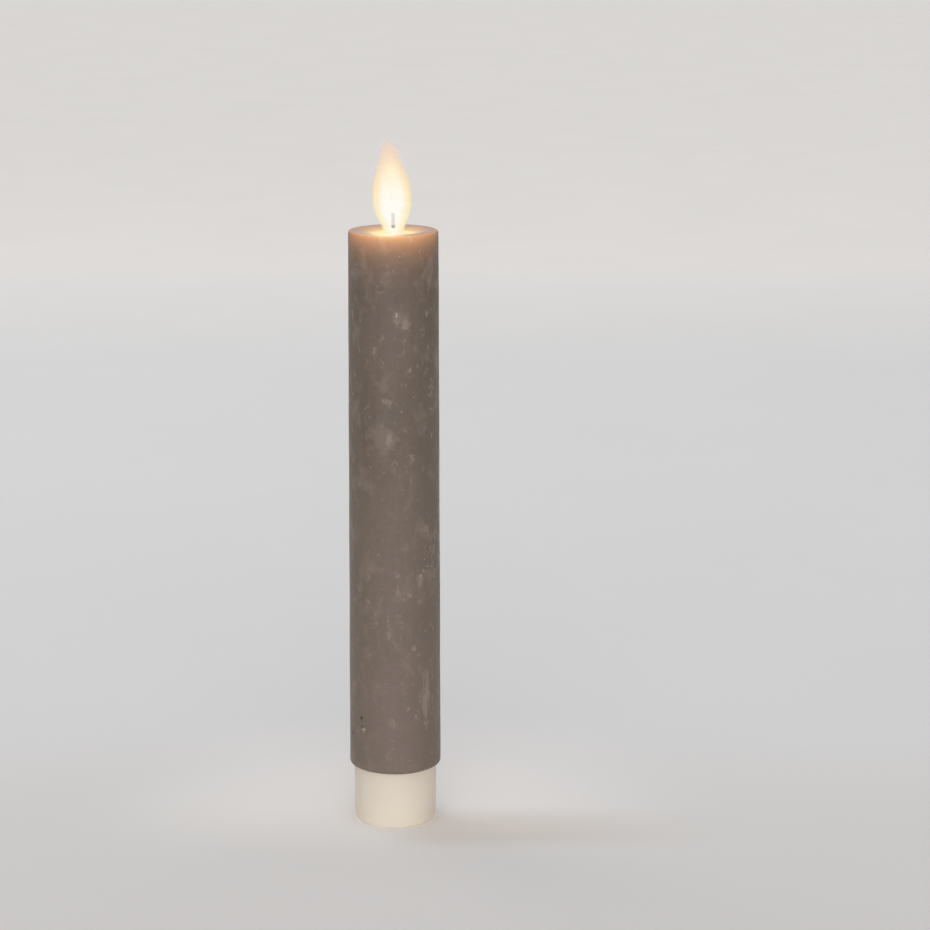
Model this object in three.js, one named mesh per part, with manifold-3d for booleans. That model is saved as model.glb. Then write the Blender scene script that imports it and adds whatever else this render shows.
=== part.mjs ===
// A flameless LED dinner candle: a wax sleeve over a plastic battery tube, with a swinging flame
// blade driven by a coil at the top, two AA cells in line below it, and a twist-off base that
// holds the spring and the slide switch.
//
// Millimetres, +Z up. The origin is the centre of the base's underside. The flame blade's broad
// face looks along -Y, and that side is the front.
import * as THREE from "three";
import { mergeVertices } from "three/addons/utils/BufferGeometryUtils.js";
import Module from "manifold-3d";

const wasm = await Module();
wasm.setup();

// ---------------------------------------------------------------- driving dimensions

const RIM_Z = 150; // the wax rim, which is the candle's nominal length
const WAX_FOOT_Z = 15; // underside of the wax, above the bare plastic base
const WAX_R_TOP = 10.95;
const WAX_R_FOOT = 11.45;
const FLAME_HEIGHT = 22.2; // from the rim to the blade's tip
const DISH_R = 7.45; // a shallow dish runs from the rim down to the flame's opening
const MOUTH_R = 4.95;
const MOUTH_Z = RIM_Z - 0.9;

const TUBE_R = 9.8;
const TUBE_BORE_R = 8.7;
const TUBE_TOP_Z = RIM_Z - 3.4;

const CELL_R = 7.15; // AA cells
const CELL_LENGTH = 50.45;
const CELL_FOOT_Z = 12.5;
const CELL_GAP = 0.05;

const BASE_R_TOP = 10.35;
const BASE_R_FOOT = 10.18;
const BASE_TOP_Z = 14.7;
const BASE_EDGE = 0.8; // rounding of the base's lower edge

const PIVOT_Z = 143.05; // the wire that the blade hangs on
const BLADE_THICKNESS = 0.5;

const LUG_HALF_ANGLE = 12; // bayonet lugs, in degrees
const UNLOCK_ANGLE = 35;

const SWITCH_TRAVEL = 4; // on, off and timer, 2 mm apart

const FIT = 0.15; // clearance round a piece that drops or slides into another
const LAY = 0.1; // clearance under a piece that lies on another

const FINE = 64; // segments round the outer shells
const MEDIUM = 40;
const SMALL = 20;
const TINY = 10;

// ---------------------------------------------------------------- derived heights

const CELLS_TOP_Z = CELL_FOOT_Z + 2 * CELL_LENGTH + CELL_GAP;
const CONTACT_Z = CELLS_TOP_Z + LAY;
const CONTACT_THICKNESS = 0.3;
const CONTACT_LEG_X = 3.2;
const BULKHEAD_Z = CONTACT_Z + 0.45;
const BULKHEAD_THICKNESS = 1.2;
const HOUSING_Z = BULKHEAD_Z + BULKHEAD_THICKNESS + 0.3;
const HOUSING_TOP_Z = TUBE_TOP_Z - 2.2;
const HOUSING_R = 8.45;
const HOUSING_BORE_R = 7.6;
const BOARD_Z = BULKHEAD_Z + 4.4;
const BOARD_THICKNESS = 1;
const BOARD_TOP_Z = BOARD_Z + BOARD_THICKNESS;
const BOARD_R = 7.35;
const BOARD_SHELF_Z = BOARD_Z - 0.2;
const BOBBIN_Z = BOARD_TOP_Z + 2;
const BOBBIN_TOP_Z = BOBBIN_Z + 5.7;
const BOBBIN_HUB_R = 2.2;
const FLANGE = 0.7;
const LEDGE_TOP_Z = BOBBIN_TOP_Z - FLANGE - 0.2;
const WIRE_END_Z = HOUSING_TOP_Z - 0.3;
const WIRE_R = 0.25;
const WIRE_NOTCH = [-0.5, 0.5];
const LEAD_NOTCH = [-2.2, 2.2];

const INSERT_FLOOR_Z = 7.7; // the cap insert's plate
const INSERT_PLATE = 1.2;
const COLLAR_R = 8.5;
const COLLAR_BORE_R = 7.5;
const COLLAR_TOP_Z = 21;
const LUG_R = 9.2;
const LUG_Z = 17.4;
const LUG_HEIGHT = 1.4;
const SCREW_Y = 5.6;
const SHELL_FLOOR_Z = 1.8;
const SHELL_RECESS_Z = 0.5;
const STEM_TOP_Z = 4.1; // top of the knob's stem, inside the switch
const SWITCH_BOARD_Z = 6.5;
const SWITCH_BOARD_THICKNESS = 0.9;
const LEG_X = 7.55; // the contact ring's leg, inside the collar
const LEG_HALF_WIDTH = 1.1;
const STRIP_Y = 8.15;
const STRIP_HALF_WIDTH = 1.5;
const STRIP_THICKNESS = 0.3;
const STRIP_FOOT_Z = COLLAR_TOP_Z + 0.65;
const STRIP_SLOT = [-STRIP_HALF_WIDTH - 0.4, STRIP_HALF_WIDTH + 0.4];

// ---------------------------------------------------------------- shape helpers

// A solid of revolution about Z. The profile's points are [radius, z], anticlockwise, and run
// from axis to axis or close on themselves.
function lathe(profile, segments) {
  const touchesAxis = profile[0][0] === 0;
  const points = touchesAxis ? profile : [...profile, profile[0]];
  const outline = points.map(([r, z]) => new THREE.Vector2(r, z));
  return new THREE.LatheGeometry(outline, segments).rotateX(Math.PI / 2);
}

function ring(innerR, outerR, z0, z1, segments) {
  return lathe([[innerR, z0], [outerR, z0], [outerR, z1], [innerR, z1]], segments);
}

function disc(r, z0, z1, segments) {
  return lathe([[0, z0], [r, z0], [r, z1], [0, z1]], segments);
}

function box([x0, x1], [y0, y1], [z0, z1]) {
  const made = new THREE.BoxGeometry(x1 - x0, y1 - y0, z1 - z0);
  return made.translate((x0 + x1) / 2, (y0 + y1) / 2, (z0 + z1) / 2);
}

// A piece of a ring between two angles in degrees, measured from +X.
function sector(innerR, outerR, fromDegrees, toDegrees, z0, z1) {
  const [from, to] = [fromDegrees, toDegrees].map(THREE.MathUtils.degToRad);
  const shape = new THREE.Shape();
  shape.absarc(0, 0, outerR, from, to, false);
  shape.absarc(0, 0, innerR, to, from, true);
  const options = { depth: z1 - z0, bevelEnabled: false, curveSegments: 8 };
  return new THREE.ExtrudeGeometry(shape, options).translate(0, 0, z0);
}

// A round wire along a curve through the given points.
function wire(points, r, steps, sides = 8) {
  const path = new THREE.CatmullRomCurve3(points.map((p) => new THREE.Vector3(...p)));
  const section = new THREE.Shape();
  for (let i = 0; i < sides; i++) {
    const a = (2 * Math.PI * i) / sides;
    section[i ? "lineTo" : "moveTo"](r * Math.cos(a), r * Math.sin(a));
  }
  return new THREE.ExtrudeGeometry(section, { extrudePath: path, steps, bevelEnabled: false });
}

// three.js geometry to a manifold-3d solid, and back.
function solid(geometry) {
  const plain = geometry.index ? geometry.toNonIndexed() : geometry.clone();
  const bare = new THREE.BufferGeometry().setAttribute("position", plain.getAttribute("position"));
  const merged = mergeVertices(bare, 1e-4);
  const triVerts = new Uint32Array(merged.index.array);
  const vertProperties = merged.attributes.position.array;
  return new wasm.Manifold(new wasm.Mesh({ numProp: 3, vertProperties, triVerts }));
}

function geometryOf(made) {
  const mesh = made.getMesh();
  const positions = new THREE.BufferAttribute(mesh.vertProperties, mesh.numProp);
  const indexed = new THREE.BufferGeometry().setAttribute("position", positions);
  const flat = indexed.setIndex(new THREE.BufferAttribute(mesh.triVerts, 1)).toNonIndexed();
  flat.computeVertexNormals();
  return flat;
}

function join(...geometries) {
  return geometryOf(geometries.map(solid).reduce((all, next) => all.add(next)));
}

function cut(geometry, ...tools) {
  return geometryOf(tools.map(solid).reduce((rest, tool) => rest.subtract(tool), solid(geometry)));
}

function common(a, b) {
  return geometryOf(solid(a).intersect(solid(b)));
}

// ---------------------------------------------------------------- materials

function finish(color, roughness, metalness = 0) {
  return new THREE.MeshStandardMaterial({ color, roughness, metalness });
}

const WAX = finish(0x786b61, 0.75);
const IVORY = finish(0xe0d3bd, 0.45);
const BLACK_PLASTIC = finish(0x1d1d1f, 0.5);
const FLAME_SHEET = finish(0xfff1d0, 0.35);
const WICK_FIBRE = finish(0x3a2c22, 0.95);
const NICKEL = finish(0xc8c6c0, 0.25, 1);
const STEEL = finish(0xa9abad, 0.3, 1);
const COPPER = finish(0xb9703a, 0.35, 1);
const BOARD_GREEN = finish(0x1f5b3a, 0.55);
const LENS = finish(0xf6e3b4, 0.15);
const CERAMIC = finish(0x8d7a62, 0.6);
const RED_LEAD = finish(0xa02420, 0.5);
const CELL_JACKET = finish(0x2e5f6e, 0.4);

function part(name, geometry, material) {
  const made = new THREE.Mesh(geometry, material);
  made.name = name;
  return made;
}

// ---------------------------------------------------------------- candle body

// The wax tapers a little towards the rim and closes over the tube's top, where a shallow dish
// runs down to the flame's opening.
function waxSleeve() {
  const bore = TUBE_R + FIT;
  const roofZ = TUBE_TOP_Z + 2 * FIT;
  const dishZ = RIM_Z - 0.12;
  const steps = 4;
  const dish = [];
  for (let i = 0; i <= steps; i++) {
    const t = i / steps;
    const fall = Math.sin((t * Math.PI) / 2);
    dish.push([DISH_R + (MOUTH_R - DISH_R) * t, dishZ + (MOUTH_Z - dishZ) * fall]);
  }
  return lathe(
    [
      [bore, WAX_FOOT_Z],
      [WAX_R_FOOT - 0.3, WAX_FOOT_Z],
      [WAX_R_FOOT - 0.08, WAX_FOOT_Z + 0.12],
      [WAX_R_FOOT, WAX_FOOT_Z + 0.45],
      [WAX_R_TOP, RIM_Z - 0.8],
      [WAX_R_TOP - 0.12, RIM_Z - 0.3],
      [WAX_R_TOP - 0.45, RIM_Z],
      [DISH_R + 0.3, RIM_Z],
      ...dish,
      [MOUTH_R, roofZ],
      [bore, roofZ],
    ],
    FINE,
  );
}

// Four ribs centre the cells, and two L-shaped grooves at the foot take the base's lugs.
function coreTube() {
  const ribHalf = 0.6;
  const ribHeight = [COLLAR_TOP_Z + 3, BULKHEAD_Z - 2 * FIT];
  const ribs = [45, 135, 225, 315].map((degrees) =>
    box([COLLAR_BORE_R, TUBE_BORE_R + 0.3], [-ribHalf, ribHalf], ribHeight).rotateZ(
      THREE.MathUtils.degToRad(degrees),
    ),
  );
  const play = 2; // degrees
  const grooves = [90, 270].flatMap((lug) => {
    const end = lug - UNLOCK_ANGLE - LUG_HALF_ANGLE - play;
    const mouth = end + 2 * (LUG_HALF_ANGLE + play);
    const grooveR = LUG_R + 0.25;
    const top = LUG_Z + LUG_HEIGHT + 0.2;
    return [
      sector(TUBE_BORE_R - 1, grooveR, end, lug + LUG_HALF_ANGLE + play, LUG_Z - 0.2, top),
      sector(TUBE_BORE_R - 1, grooveR, end, mouth, WAX_FOOT_Z - 1, top),
    ];
  });
  const tube = ring(TUBE_BORE_R, TUBE_R, WAX_FOOT_Z, TUBE_TOP_Z, FINE);
  return cut(join(tube, ...ribs), ...grooves);
}

function bulkhead() {
  const plate = disc(TUBE_BORE_R - FIT, BULKHEAD_Z, BULKHEAD_Z + BULKHEAD_THICKNESS, MEDIUM);
  const through = [BULKHEAD_Z - 1, BULKHEAD_Z + BULKHEAD_THICKNESS + 1];
  const slotWidth = [CONTACT_LEG_X - 0.3, CONTACT_LEG_X + CONTACT_THICKNESS + 0.3];
  const legSlot = box(slotWidth, [-1.1, 1.1], through);
  const stripNotch = box(STRIP_SLOT, [STRIP_Y - 0.35, TUBE_BORE_R + 0.3], through);
  return cut(plate, legSlot, stripNotch);
}

function positiveContact() {
  const plate = box([-4.5, 4.5], [-2.5, 2.5], [CONTACT_Z, CONTACT_Z + CONTACT_THICKNESS]);
  const legWidth = [CONTACT_LEG_X, CONTACT_LEG_X + CONTACT_THICKNESS];
  const leg = box(legWidth, [-0.8, 0.8], [CONTACT_Z + LAY, BOARD_Z - LAY]);
  return join(plate, leg);
}

// A flat strip up the back of the tube: it carries the negative side from the base to the board.
function groundStrip() {
  const width = [-STRIP_HALF_WIDTH, STRIP_HALF_WIDTH];
  const back = STRIP_Y + STRIP_THICKNESS;
  const topZ = BOARD_TOP_Z + LAY;
  const tabY = BOARD_R - 0.75;
  const run = box(width, [STRIP_Y, back], [STRIP_FOOT_Z, topZ + STRIP_THICKNESS]);
  const footTab = box(width, [COLLAR_BORE_R + LAY, back], [STRIP_FOOT_Z, STRIP_FOOT_Z + STRIP_THICKNESS]);
  const topTab = box(width, [tabY, back], [topZ, topZ + STRIP_THICKNESS]);
  return join(run, footTab, topTab);
}

// ---------------------------------------------------------------- electronics

function driverChip() {
  const z0 = BOARD_TOP_Z + 2 * LAY;
  const pitch = 1.27;
  const middleY = 1.45;
  const halfWidth = 1.9;
  const body = box([-2.45, 2.45], [middleY - halfWidth, middleY + halfWidth], [z0, z0 + 1.3]);
  const legs = [];
  for (const side of [-1, 1]) {
    const root = middleY + side * (halfWidth - 0.2);
    const ys = [root, root + side * 1.2].sort((a, b) => a - b);
    for (let i = 0; i < 4; i++) {
      const x = (i - 1.5) * pitch;
      legs.push(box([x - 0.2, x + 0.2], ys, [BOARD_TOP_Z + LAY, BOARD_TOP_Z + 0.45]));
    }
  }
  return join(body, ...legs);
}

function timerCrystal() {
  const r = 1;
  return new THREE.CylinderGeometry(r, r, 6, SMALL)
    .rotateZ(Math.PI / 2)
    .translate(0, -3.2, BOARD_Z - 2 * LAY - r);
}

const CAPACITOR = [3.2, 1.6, 1.6]; // length, width and height
const RESISTOR = [2, 1.25, 0.6];

// A small block on the board's upper side (1) or lower side (-1).
function boardBlock(x, y, [length, width, height], side) {
  const z0 = side > 0 ? BOARD_TOP_Z + LAY : BOARD_Z - LAY - height;
  return box([x - length / 2, x + length / 2], [y - width / 2, y + width / 2], [z0, z0 + height]);
}

// ---------------------------------------------------------------- flame mechanism

// Two half shells close round the board, the coil and the ends of the pivot wire.
function housingHalf(side) {
  const ledge = 0.7;
  const bobbinLedgeR = 6.4;
  const boardShelfR = 6.8;
  const shell = lathe(
    [
      [HOUSING_BORE_R, HOUSING_Z],
      [HOUSING_R, HOUSING_Z],
      [HOUSING_R, HOUSING_TOP_Z],
      [HOUSING_BORE_R, HOUSING_TOP_Z],
      [HOUSING_BORE_R, LEDGE_TOP_Z],
      [bobbinLedgeR, LEDGE_TOP_Z],
      [bobbinLedgeR, LEDGE_TOP_Z - ledge],
      [HOUSING_BORE_R, LEDGE_TOP_Z - ledge],
      [HOUSING_BORE_R, BOARD_SHELF_Z],
      [boardShelfR, BOARD_SHELF_Z],
      [boardShelfR, BOARD_SHELF_Z - ledge],
      [HOUSING_BORE_R, BOARD_SHELF_Z - ledge],
    ],
    MEDIUM,
  );
  const seam = 0.05;
  const reach = 10;
  const depth = side < 0 ? [-reach, -seam] : [seam, reach];
  const half = box([-reach, reach], depth, [HOUSING_Z - 1, HOUSING_TOP_Z + 1]);
  const wireNotch = box(WIRE_NOTCH, [-reach, reach], [WIRE_END_Z - 0.4, HOUSING_TOP_Z + 1]);
  const stripSlot = box(STRIP_SLOT, [6, reach], [HOUSING_Z - 1, BOARD_TOP_Z + 0.8]);
  const leadNotch = box(LEAD_NOTCH, [-HOUSING_BORE_R + LAY, -5], [LEDGE_TOP_Z - 1, LEDGE_TOP_Z + 1]);
  return cut(common(shell, half), wireNotch, side < 0 ? leadNotch : stripSlot);
}

function coilBobbin() {
  const boreR = BOBBIN_HUB_R - 1;
  const footR = 6;
  const spool = lathe(
    [
      [boreR, BOBBIN_Z],
      [footR, BOBBIN_Z],
      [footR, BOBBIN_Z + FLANGE],
      [BOBBIN_HUB_R, BOBBIN_Z + FLANGE],
      [BOBBIN_HUB_R, BOBBIN_TOP_Z - FLANGE],
      [BOARD_R, BOBBIN_TOP_Z - FLANGE],
      [BOARD_R, BOBBIN_TOP_Z],
      [boreR, BOBBIN_TOP_Z],
    ],
    MEDIUM,
  );
  const leadNotch = box(LEAD_NOTCH, [-9, -5.9], [BOBBIN_TOP_Z - 1.5, BOBBIN_TOP_Z + 1]);
  return cut(spool, leadNotch);
}

function coilWinding() {
  const outerR = 5.7;
  const z0 = BOBBIN_Z + FLANGE + FIT;
  const z1 = BOBBIN_TOP_Z - FLANGE - FIT;
  return ring(BOBBIN_HUB_R + FIT, outerR, z0, z1, MEDIUM);
}

// A fine wire from the winding down to the board.
function coilLead(degrees) {
  const a = THREE.MathUtils.degToRad(degrees);
  const at = (r, z) => [r * Math.cos(a), r * Math.sin(a), z];
  const points = [
    at(5.95, BOBBIN_Z + 3),
    at(6.35, BOBBIN_Z + 1.6),
    at(6.5, BOBBIN_Z),
    at(6.4, BOARD_TOP_Z + LAY),
  ];
  return wire(points, 0.18, 12, 6);
}

const LED_BASE = [0, -4.4, 135.2];
const LED_TILT = -20; // degrees about X: the lens looks up and back at the flame
const LED_BODY_R = 1.5;
const LED_FLANGE_R = 1.9;

function led() {
  const bodyTop = 3.8;
  const dome = [];
  for (let i = 0; i <= 4; i++) {
    const a = (i / 4) * (Math.PI / 2);
    dome.push([i === 4 ? 0 : LED_BODY_R * Math.cos(a), bodyTop + LED_BODY_R * Math.sin(a)]);
  }
  const flange = [[LED_FLANGE_R, 0], [LED_FLANGE_R, 1]];
  return lathe([[0, 0], ...flange, [LED_BODY_R, 1], ...dome], SMALL);
}

function ledPlace(object) {
  const group = new THREE.Group();
  group.position.set(...LED_BASE);
  group.rotation.x = THREE.MathUtils.degToRad(LED_TILT);
  group.add(object);
  return group;
}

// A tilted ring that grips the LED, on a bracket that meets the front wall of the housing.
function ledHolder() {
  const place = new THREE.Matrix4()
    .makeRotationX(THREE.MathUtils.degToRad(LED_TILT))
    .setPosition(...LED_BASE);
  const [, ledY, ledZ] = LED_BASE;
  const gripR = 2.7;
  const grip = disc(gripR, 1.4, 3.2, SMALL).applyMatrix4(place);
  const bore = disc(LED_BODY_R + 2 * FIT, -2, 8, SMALL).applyMatrix4(place);
  const bracket = box([-1.7, 1.7], [-HOUSING_BORE_R, ledY - 0.6], [ledZ + 1.7, ledZ + 3.2]);
  const inside = disc(HOUSING_BORE_R - FIT, ledZ - 5, ledZ + 7, MEDIUM);
  return cut(common(join(grip, bracket), inside), bore);
}

// A lead from the LED's foot, down the front of the bobbin to the board.
function ledLead(side) {
  const x = side * 1.27;
  const downY = -6.75;
  const leadR = 0.32;
  const [, y0, z0] = LED_BASE;
  return wire(
    [
      [x, y0 - 0.1, z0 - 0.15],
      [x, y0 - 0.8, z0 - 2.2],
      [x, downY + 0.25, z0 - 5],
      [x, downY, BOBBIN_TOP_Z],
      [x, downY, BOBBIN_Z + 1.5],
      [x, downY + 0.35, BOARD_TOP_Z + 0.15],
    ],
    leadR,
    22,
  );
}

// The ring that the blade comes up through. Its skirt traps the ends of the pivot wire.
function flameSeat() {
  const apertureR = 4;
  const skirtR = HOUSING_BORE_R - FIT;
  const skirtBoreR = 6.6;
  const plateR = TUBE_BORE_R - FIT;
  const collarR = apertureR + 0.8;
  const collarZ = MOUTH_Z - 0.8;
  const plateZ = HOUSING_TOP_Z + 0.3;
  const skirtZ = HOUSING_TOP_Z - 1.8;
  const seat = lathe(
    [
      [skirtBoreR, skirtZ],
      [skirtR, skirtZ],
      [skirtR, plateZ],
      [plateR, plateZ],
      [plateR, TUBE_TOP_Z],
      [collarR, TUBE_TOP_Z],
      [collarR, collarZ],
      [apertureR + 0.4, collarZ + 0.2],
      [apertureR, collarZ],
      [apertureR, plateZ],
      [skirtBoreR, plateZ],
    ],
    MEDIUM,
  );
  const wireNotch = box(WIRE_NOTCH, [-8, 8], [skirtZ - 1, WIRE_END_Z + 0.5]);
  return cut(seat, wireNotch);
}

// The wire dips in the middle, so the blade stays centred in the opening.
function pivotWire() {
  const side = (s) => [
    [0, s * 8.2, WIRE_END_Z],
    [0, s * 6.8, WIRE_END_Z],
    [0, s * 4, (WIRE_END_Z + PIVOT_Z) / 2],
    [0, s * 1.2, PIVOT_Z],
  ];
  return wire([...side(-1), [0, 0, PIVOT_Z], ...side(1).reverse()], WIRE_R, 28);
}

// ---------------------------------------------------------------- flame, measured from its pivot

const fromPivot = (z) => z - PIVOT_Z;
const WICK_HOLE_Z = fromPivot(RIM_Z + 0.7);
const WICK_R = 0.48;
const MAGNET_R = 2;
const MAGNET_Z = -12.35;

// The blade's left and right edges at heights above the rim.
const BLADE_SECTIONS = [
  [-1, -2.6, 2.6],
  [1.2, -3.05, 3.05],
  [3, -3.95, 3.8],
  [5.4, -4.75, 4.5],
  [8.3, -5.05, 4.6],
  [12.2, -4.7, 4],
  [15.5, -3.9, 2.7],
  [18.3, -3.25, 1.6],
  [20.6, -2.85, 0.7],
];
const BLADE_TIP_X = -1.15;

function flameBlade() {
  const tail = { x: 2.2, z: MAGNET_Z - 1.4 };
  const side = (k) => BLADE_SECTIONS.map((s) => new THREE.Vector2(s[k], fromPivot(RIM_Z) + s[0]));
  const tip = new THREE.Vector2(BLADE_TIP_X, fromPivot(RIM_Z) + FLAME_HEIGHT);
  const shape = new THREE.Shape();
  shape.moveTo(-tail.x, tail.z);
  shape.lineTo(tail.x, tail.z);
  shape.splineThru([new THREE.Vector2(tail.x + 0.05, -1), ...side(2), tip]);
  shape.splineThru([...side(1).reverse(), new THREE.Vector2(-tail.x - 0.05, -1)]);
  shape.closePath();
  const hole = (z, r) => new THREE.Path().absarc(0, z, r, 0, 2 * Math.PI, true);
  const hangHoleR = 0.65;
  shape.holes.push(hole(-0.3, hangHoleR), hole(WICK_HOLE_Z, WICK_R + 0.32));
  const options = { depth: BLADE_THICKNESS, bevelEnabled: false, curveSegments: 4 };
  return new THREE.ExtrudeGeometry(shape, options)
    .rotateX(Math.PI / 2)
    .translate(0, BLADE_THICKNESS / 2, 0);
}

// The wick comes through a hole in the blade and stands up in front of it.
function wick() {
  const foot = WICK_HOLE_Z;
  return wire(
    [
      [0, 1.1, foot - 0.1],
      [0, 0, foot],
      [0, -0.72, foot + 0.4],
      [0, -0.98, foot + 1.5],
      [0, -0.95, foot + 3.5],
    ],
    WICK_R,
    14,
    10,
  );
}

function magnet(side) {
  const thickness = 1.2;
  const y = side * (BLADE_THICKNESS / 2 + 0.05 + thickness / 2);
  return new THREE.CylinderGeometry(MAGNET_R, MAGNET_R, thickness, SMALL).translate(0, y, MAGNET_Z);
}

// ---------------------------------------------------------------- cells

// An AA cell standing on z = 0, with its positive button up.
function cell() {
  const shoulderZ = CELL_LENGTH - 1.45;
  return lathe(
    [
      [0, 0],
      [5.3, 0],
      [5.5, 0.25],
      [CELL_R - 0.2, 0.3],
      [CELL_R, 0.6],
      [CELL_R, shoulderZ - 0.3],
      [CELL_R - 0.3, shoulderZ],
      [3, shoulderZ],
      [2.7, shoulderZ + 0.2],
      [2.6, CELL_LENGTH - 0.2],
      [2.4, CELL_LENGTH],
      [0, CELL_LENGTH],
    ],
    MEDIUM,
  );
}

// ---------------------------------------------------------------- twist-off base

const SLOT_HALF_LENGTH = 3.7;

// A cup with two screw bosses, a slot for the switch knob and three moulded position marks.
function baseShell() {
  const footR = BASE_R_FOOT - BASE_EDGE;
  const edge = [];
  for (let i = 0; i <= 4; i++) {
    const a = (i / 4) * (Math.PI / 2);
    edge.push([footR + BASE_EDGE * Math.sin(a), BASE_EDGE * (1 - Math.cos(a))]);
  }
  const cup = lathe(
    [
      [0, SHELL_RECESS_Z],
      [6.7, SHELL_RECESS_Z],
      [6.9, 0],
      ...edge,
      [BASE_R_TOP, BASE_TOP_Z],
      [9.1, BASE_TOP_Z],
      [9.05, SHELL_FLOOR_Z],
      [0, SHELL_FLOOR_Z],
    ],
    FINE,
  );
  const bossTop = INSERT_FLOOR_Z - 2 * LAY;
  const shelf = SWITCH_BOARD_Z - LAY;
  const rootZ = SHELL_FLOOR_Z - 0.4;
  const [bossR, neckR] = [2.7, 1.9];
  const bossSide = [[bossR, rootZ], [bossR, shelf], [neckR, shelf], [neckR, bossTop]];
  const boss = (y) => lathe([[0, rootZ], ...bossSide, [0, bossTop]], SMALL).translate(0, y, 0);
  const pilot = (y) => disc(0.85, SHELL_FLOOR_Z + 0.6, bossTop + 1, TINY).translate(0, y, 0);
  const slot = box([-SLOT_HALF_LENGTH, SLOT_HALF_LENGTH], [-1.5, 1.5], [-1, SHELL_FLOOR_Z + 1]);
  const markZ = [SHELL_RECESS_Z - 1, SHELL_RECESS_Z + 0.25];
  const onMark = box([-2.2, -1.8], [-4.2, -2.8], markZ);
  const offMark = ring(0.4, 0.75, ...markZ, SMALL).translate(0, -3.5, 0);
  const timerMark = box([1.3, 2.7], [-3.7, -3.3], markZ);
  const timerHand = box([1.8, 2.2], [-4.2, -2.8], markZ);
  return cut(
    join(cup, boss(SCREW_Y), boss(-SCREW_Y)),
    pilot(SCREW_Y),
    pilot(-SCREW_Y),
    slot,
    onMark,
    offMark,
    timerMark,
    timerHand,
  );
}

const SPRING_R = 3.2;

// The insert closes the cup, carries the spring and reaches into the tube with its two lugs.
function capInsert() {
  const plateTop = INSERT_FLOOR_Z + INSERT_PLATE;
  const plateR = 8.8;
  const bandR = 8.95;
  const bandZ = BASE_TOP_Z - 1.1;
  const body = lathe(
    [
      [0, INSERT_FLOOR_Z],
      [plateR, INSERT_FLOOR_Z],
      [plateR, plateTop],
      [COLLAR_R, plateTop],
      [COLLAR_R, bandZ],
      [bandR, bandZ],
      [bandR, BASE_TOP_Z],
      [COLLAR_R, BASE_TOP_Z],
      [COLLAR_R, COLLAR_TOP_Z],
      [COLLAR_BORE_R, COLLAR_TOP_Z],
      [COLLAR_BORE_R, plateTop],
      [0, plateTop],
    ],
    FINE,
  );
  const lugs = [90, 270].map((at) =>
    sector(COLLAR_R - 0.3, LUG_R, at - LUG_HALF_ANGLE, at + LUG_HALF_ANGLE, LUG_Z, LUG_Z + LUG_HEIGHT),
  );
  const through = [INSERT_FLOOR_Z - 1, plateTop + 1];
  const screwHoles = [-1, 1].map((s) => disc(1.1, ...through, SMALL).translate(0, s * SCREW_Y, 0));
  const springHole = disc(1, ...through, SMALL).translate(SPRING_R - 0.1, 0.3, 0);
  const grooveHalf = LEG_HALF_WIDTH + 0.2;
  const grooveHeight = [INSERT_FLOOR_Z - 1, COLLAR_TOP_Z + 1];
  const legGroove = box([LEG_X - 0.35, LEG_X + 0.5], [-grooveHalf, grooveHalf], grooveHeight);
  return cut(join(body, ...lugs), ...screwHoles, springHole, legGroove);
}

// The ring that the ground strip lands on, with a leg down to the switch board.
function contactRing() {
  const sheet = 0.3;
  const z0 = COLLAR_TOP_Z + FIT;
  const loop = ring(COLLAR_BORE_R + LAY, COLLAR_R - FIT, z0, z0 + sheet, MEDIUM);
  const legHeight = [SWITCH_BOARD_Z + SWITCH_BOARD_THICKNESS + FIT, z0 + sheet - LAY];
  const leg = box([LEG_X, LEG_X + sheet], [-LEG_HALF_WIDTH, LEG_HALF_WIDTH], legHeight);
  return join(loop, leg);
}

// A conical spring under the lower cell, with a straight leg down to the switch board.
function negativeSpring() {
  const wireR = 0.3;
  const turns = 3.5;
  const perTurn = 10;
  const z0 = INSERT_FLOOR_Z + INSERT_PLATE + wireR + LAY;
  const z1 = CELL_FOOT_Z - wireR - LAY;
  const topR = 1.7;
  const points = [
    [SPRING_R, -0.05, SWITCH_BOARD_Z + SWITCH_BOARD_THICKNESS + LAY],
    [SPRING_R, -0.05, z0 - 0.45],
  ];
  for (let i = 1; i <= turns * perTurn; i++) {
    const t = i / (turns * perTurn);
    const a = 2 * Math.PI * turns * t;
    const r = SPRING_R + (topR - SPRING_R) * t;
    points.push([r * Math.cos(a), r * Math.sin(a), z0 + (z1 - z0) * t]);
  }
  return wire(points, wireR, 78, 7);
}

function switchBoard() {
  const z1 = SWITCH_BOARD_Z + SWITCH_BOARD_THICKNESS;
  const boardR = 8.7;
  const hole = (y) => disc(2.2, SWITCH_BOARD_Z - 1, z1 + 1, SMALL).translate(0, y, 0);
  return cut(disc(boardR, SWITCH_BOARD_Z, z1, MEDIUM), hole(SCREW_Y), hole(-SCREW_Y));
}

// The switch's metal can, open below for the knob's stem, with four pins up to the board.
function switchCase() {
  const foot = SHELL_FLOOR_Z + 0.4;
  const top = 5.6;
  const can = box([-4.3, 4.3], [-2.1, 2.1], [foot, top]);
  const pinHalf = 0.25;
  const pinHeight = [top - 1, SWITCH_BOARD_Z - LAY];
  const pins = [-3, -1, 1, 3].map((x) =>
    box([x - pinHalf, x + pinHalf], [-pinHalf, pinHalf], pinHeight),
  );
  const track = box([-3.3, 3.3], [-0.9, 0.9], [foot - 1, STEM_TOP_Z + 0.3]);
  return cut(join(can, ...pins), track);
}

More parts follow.
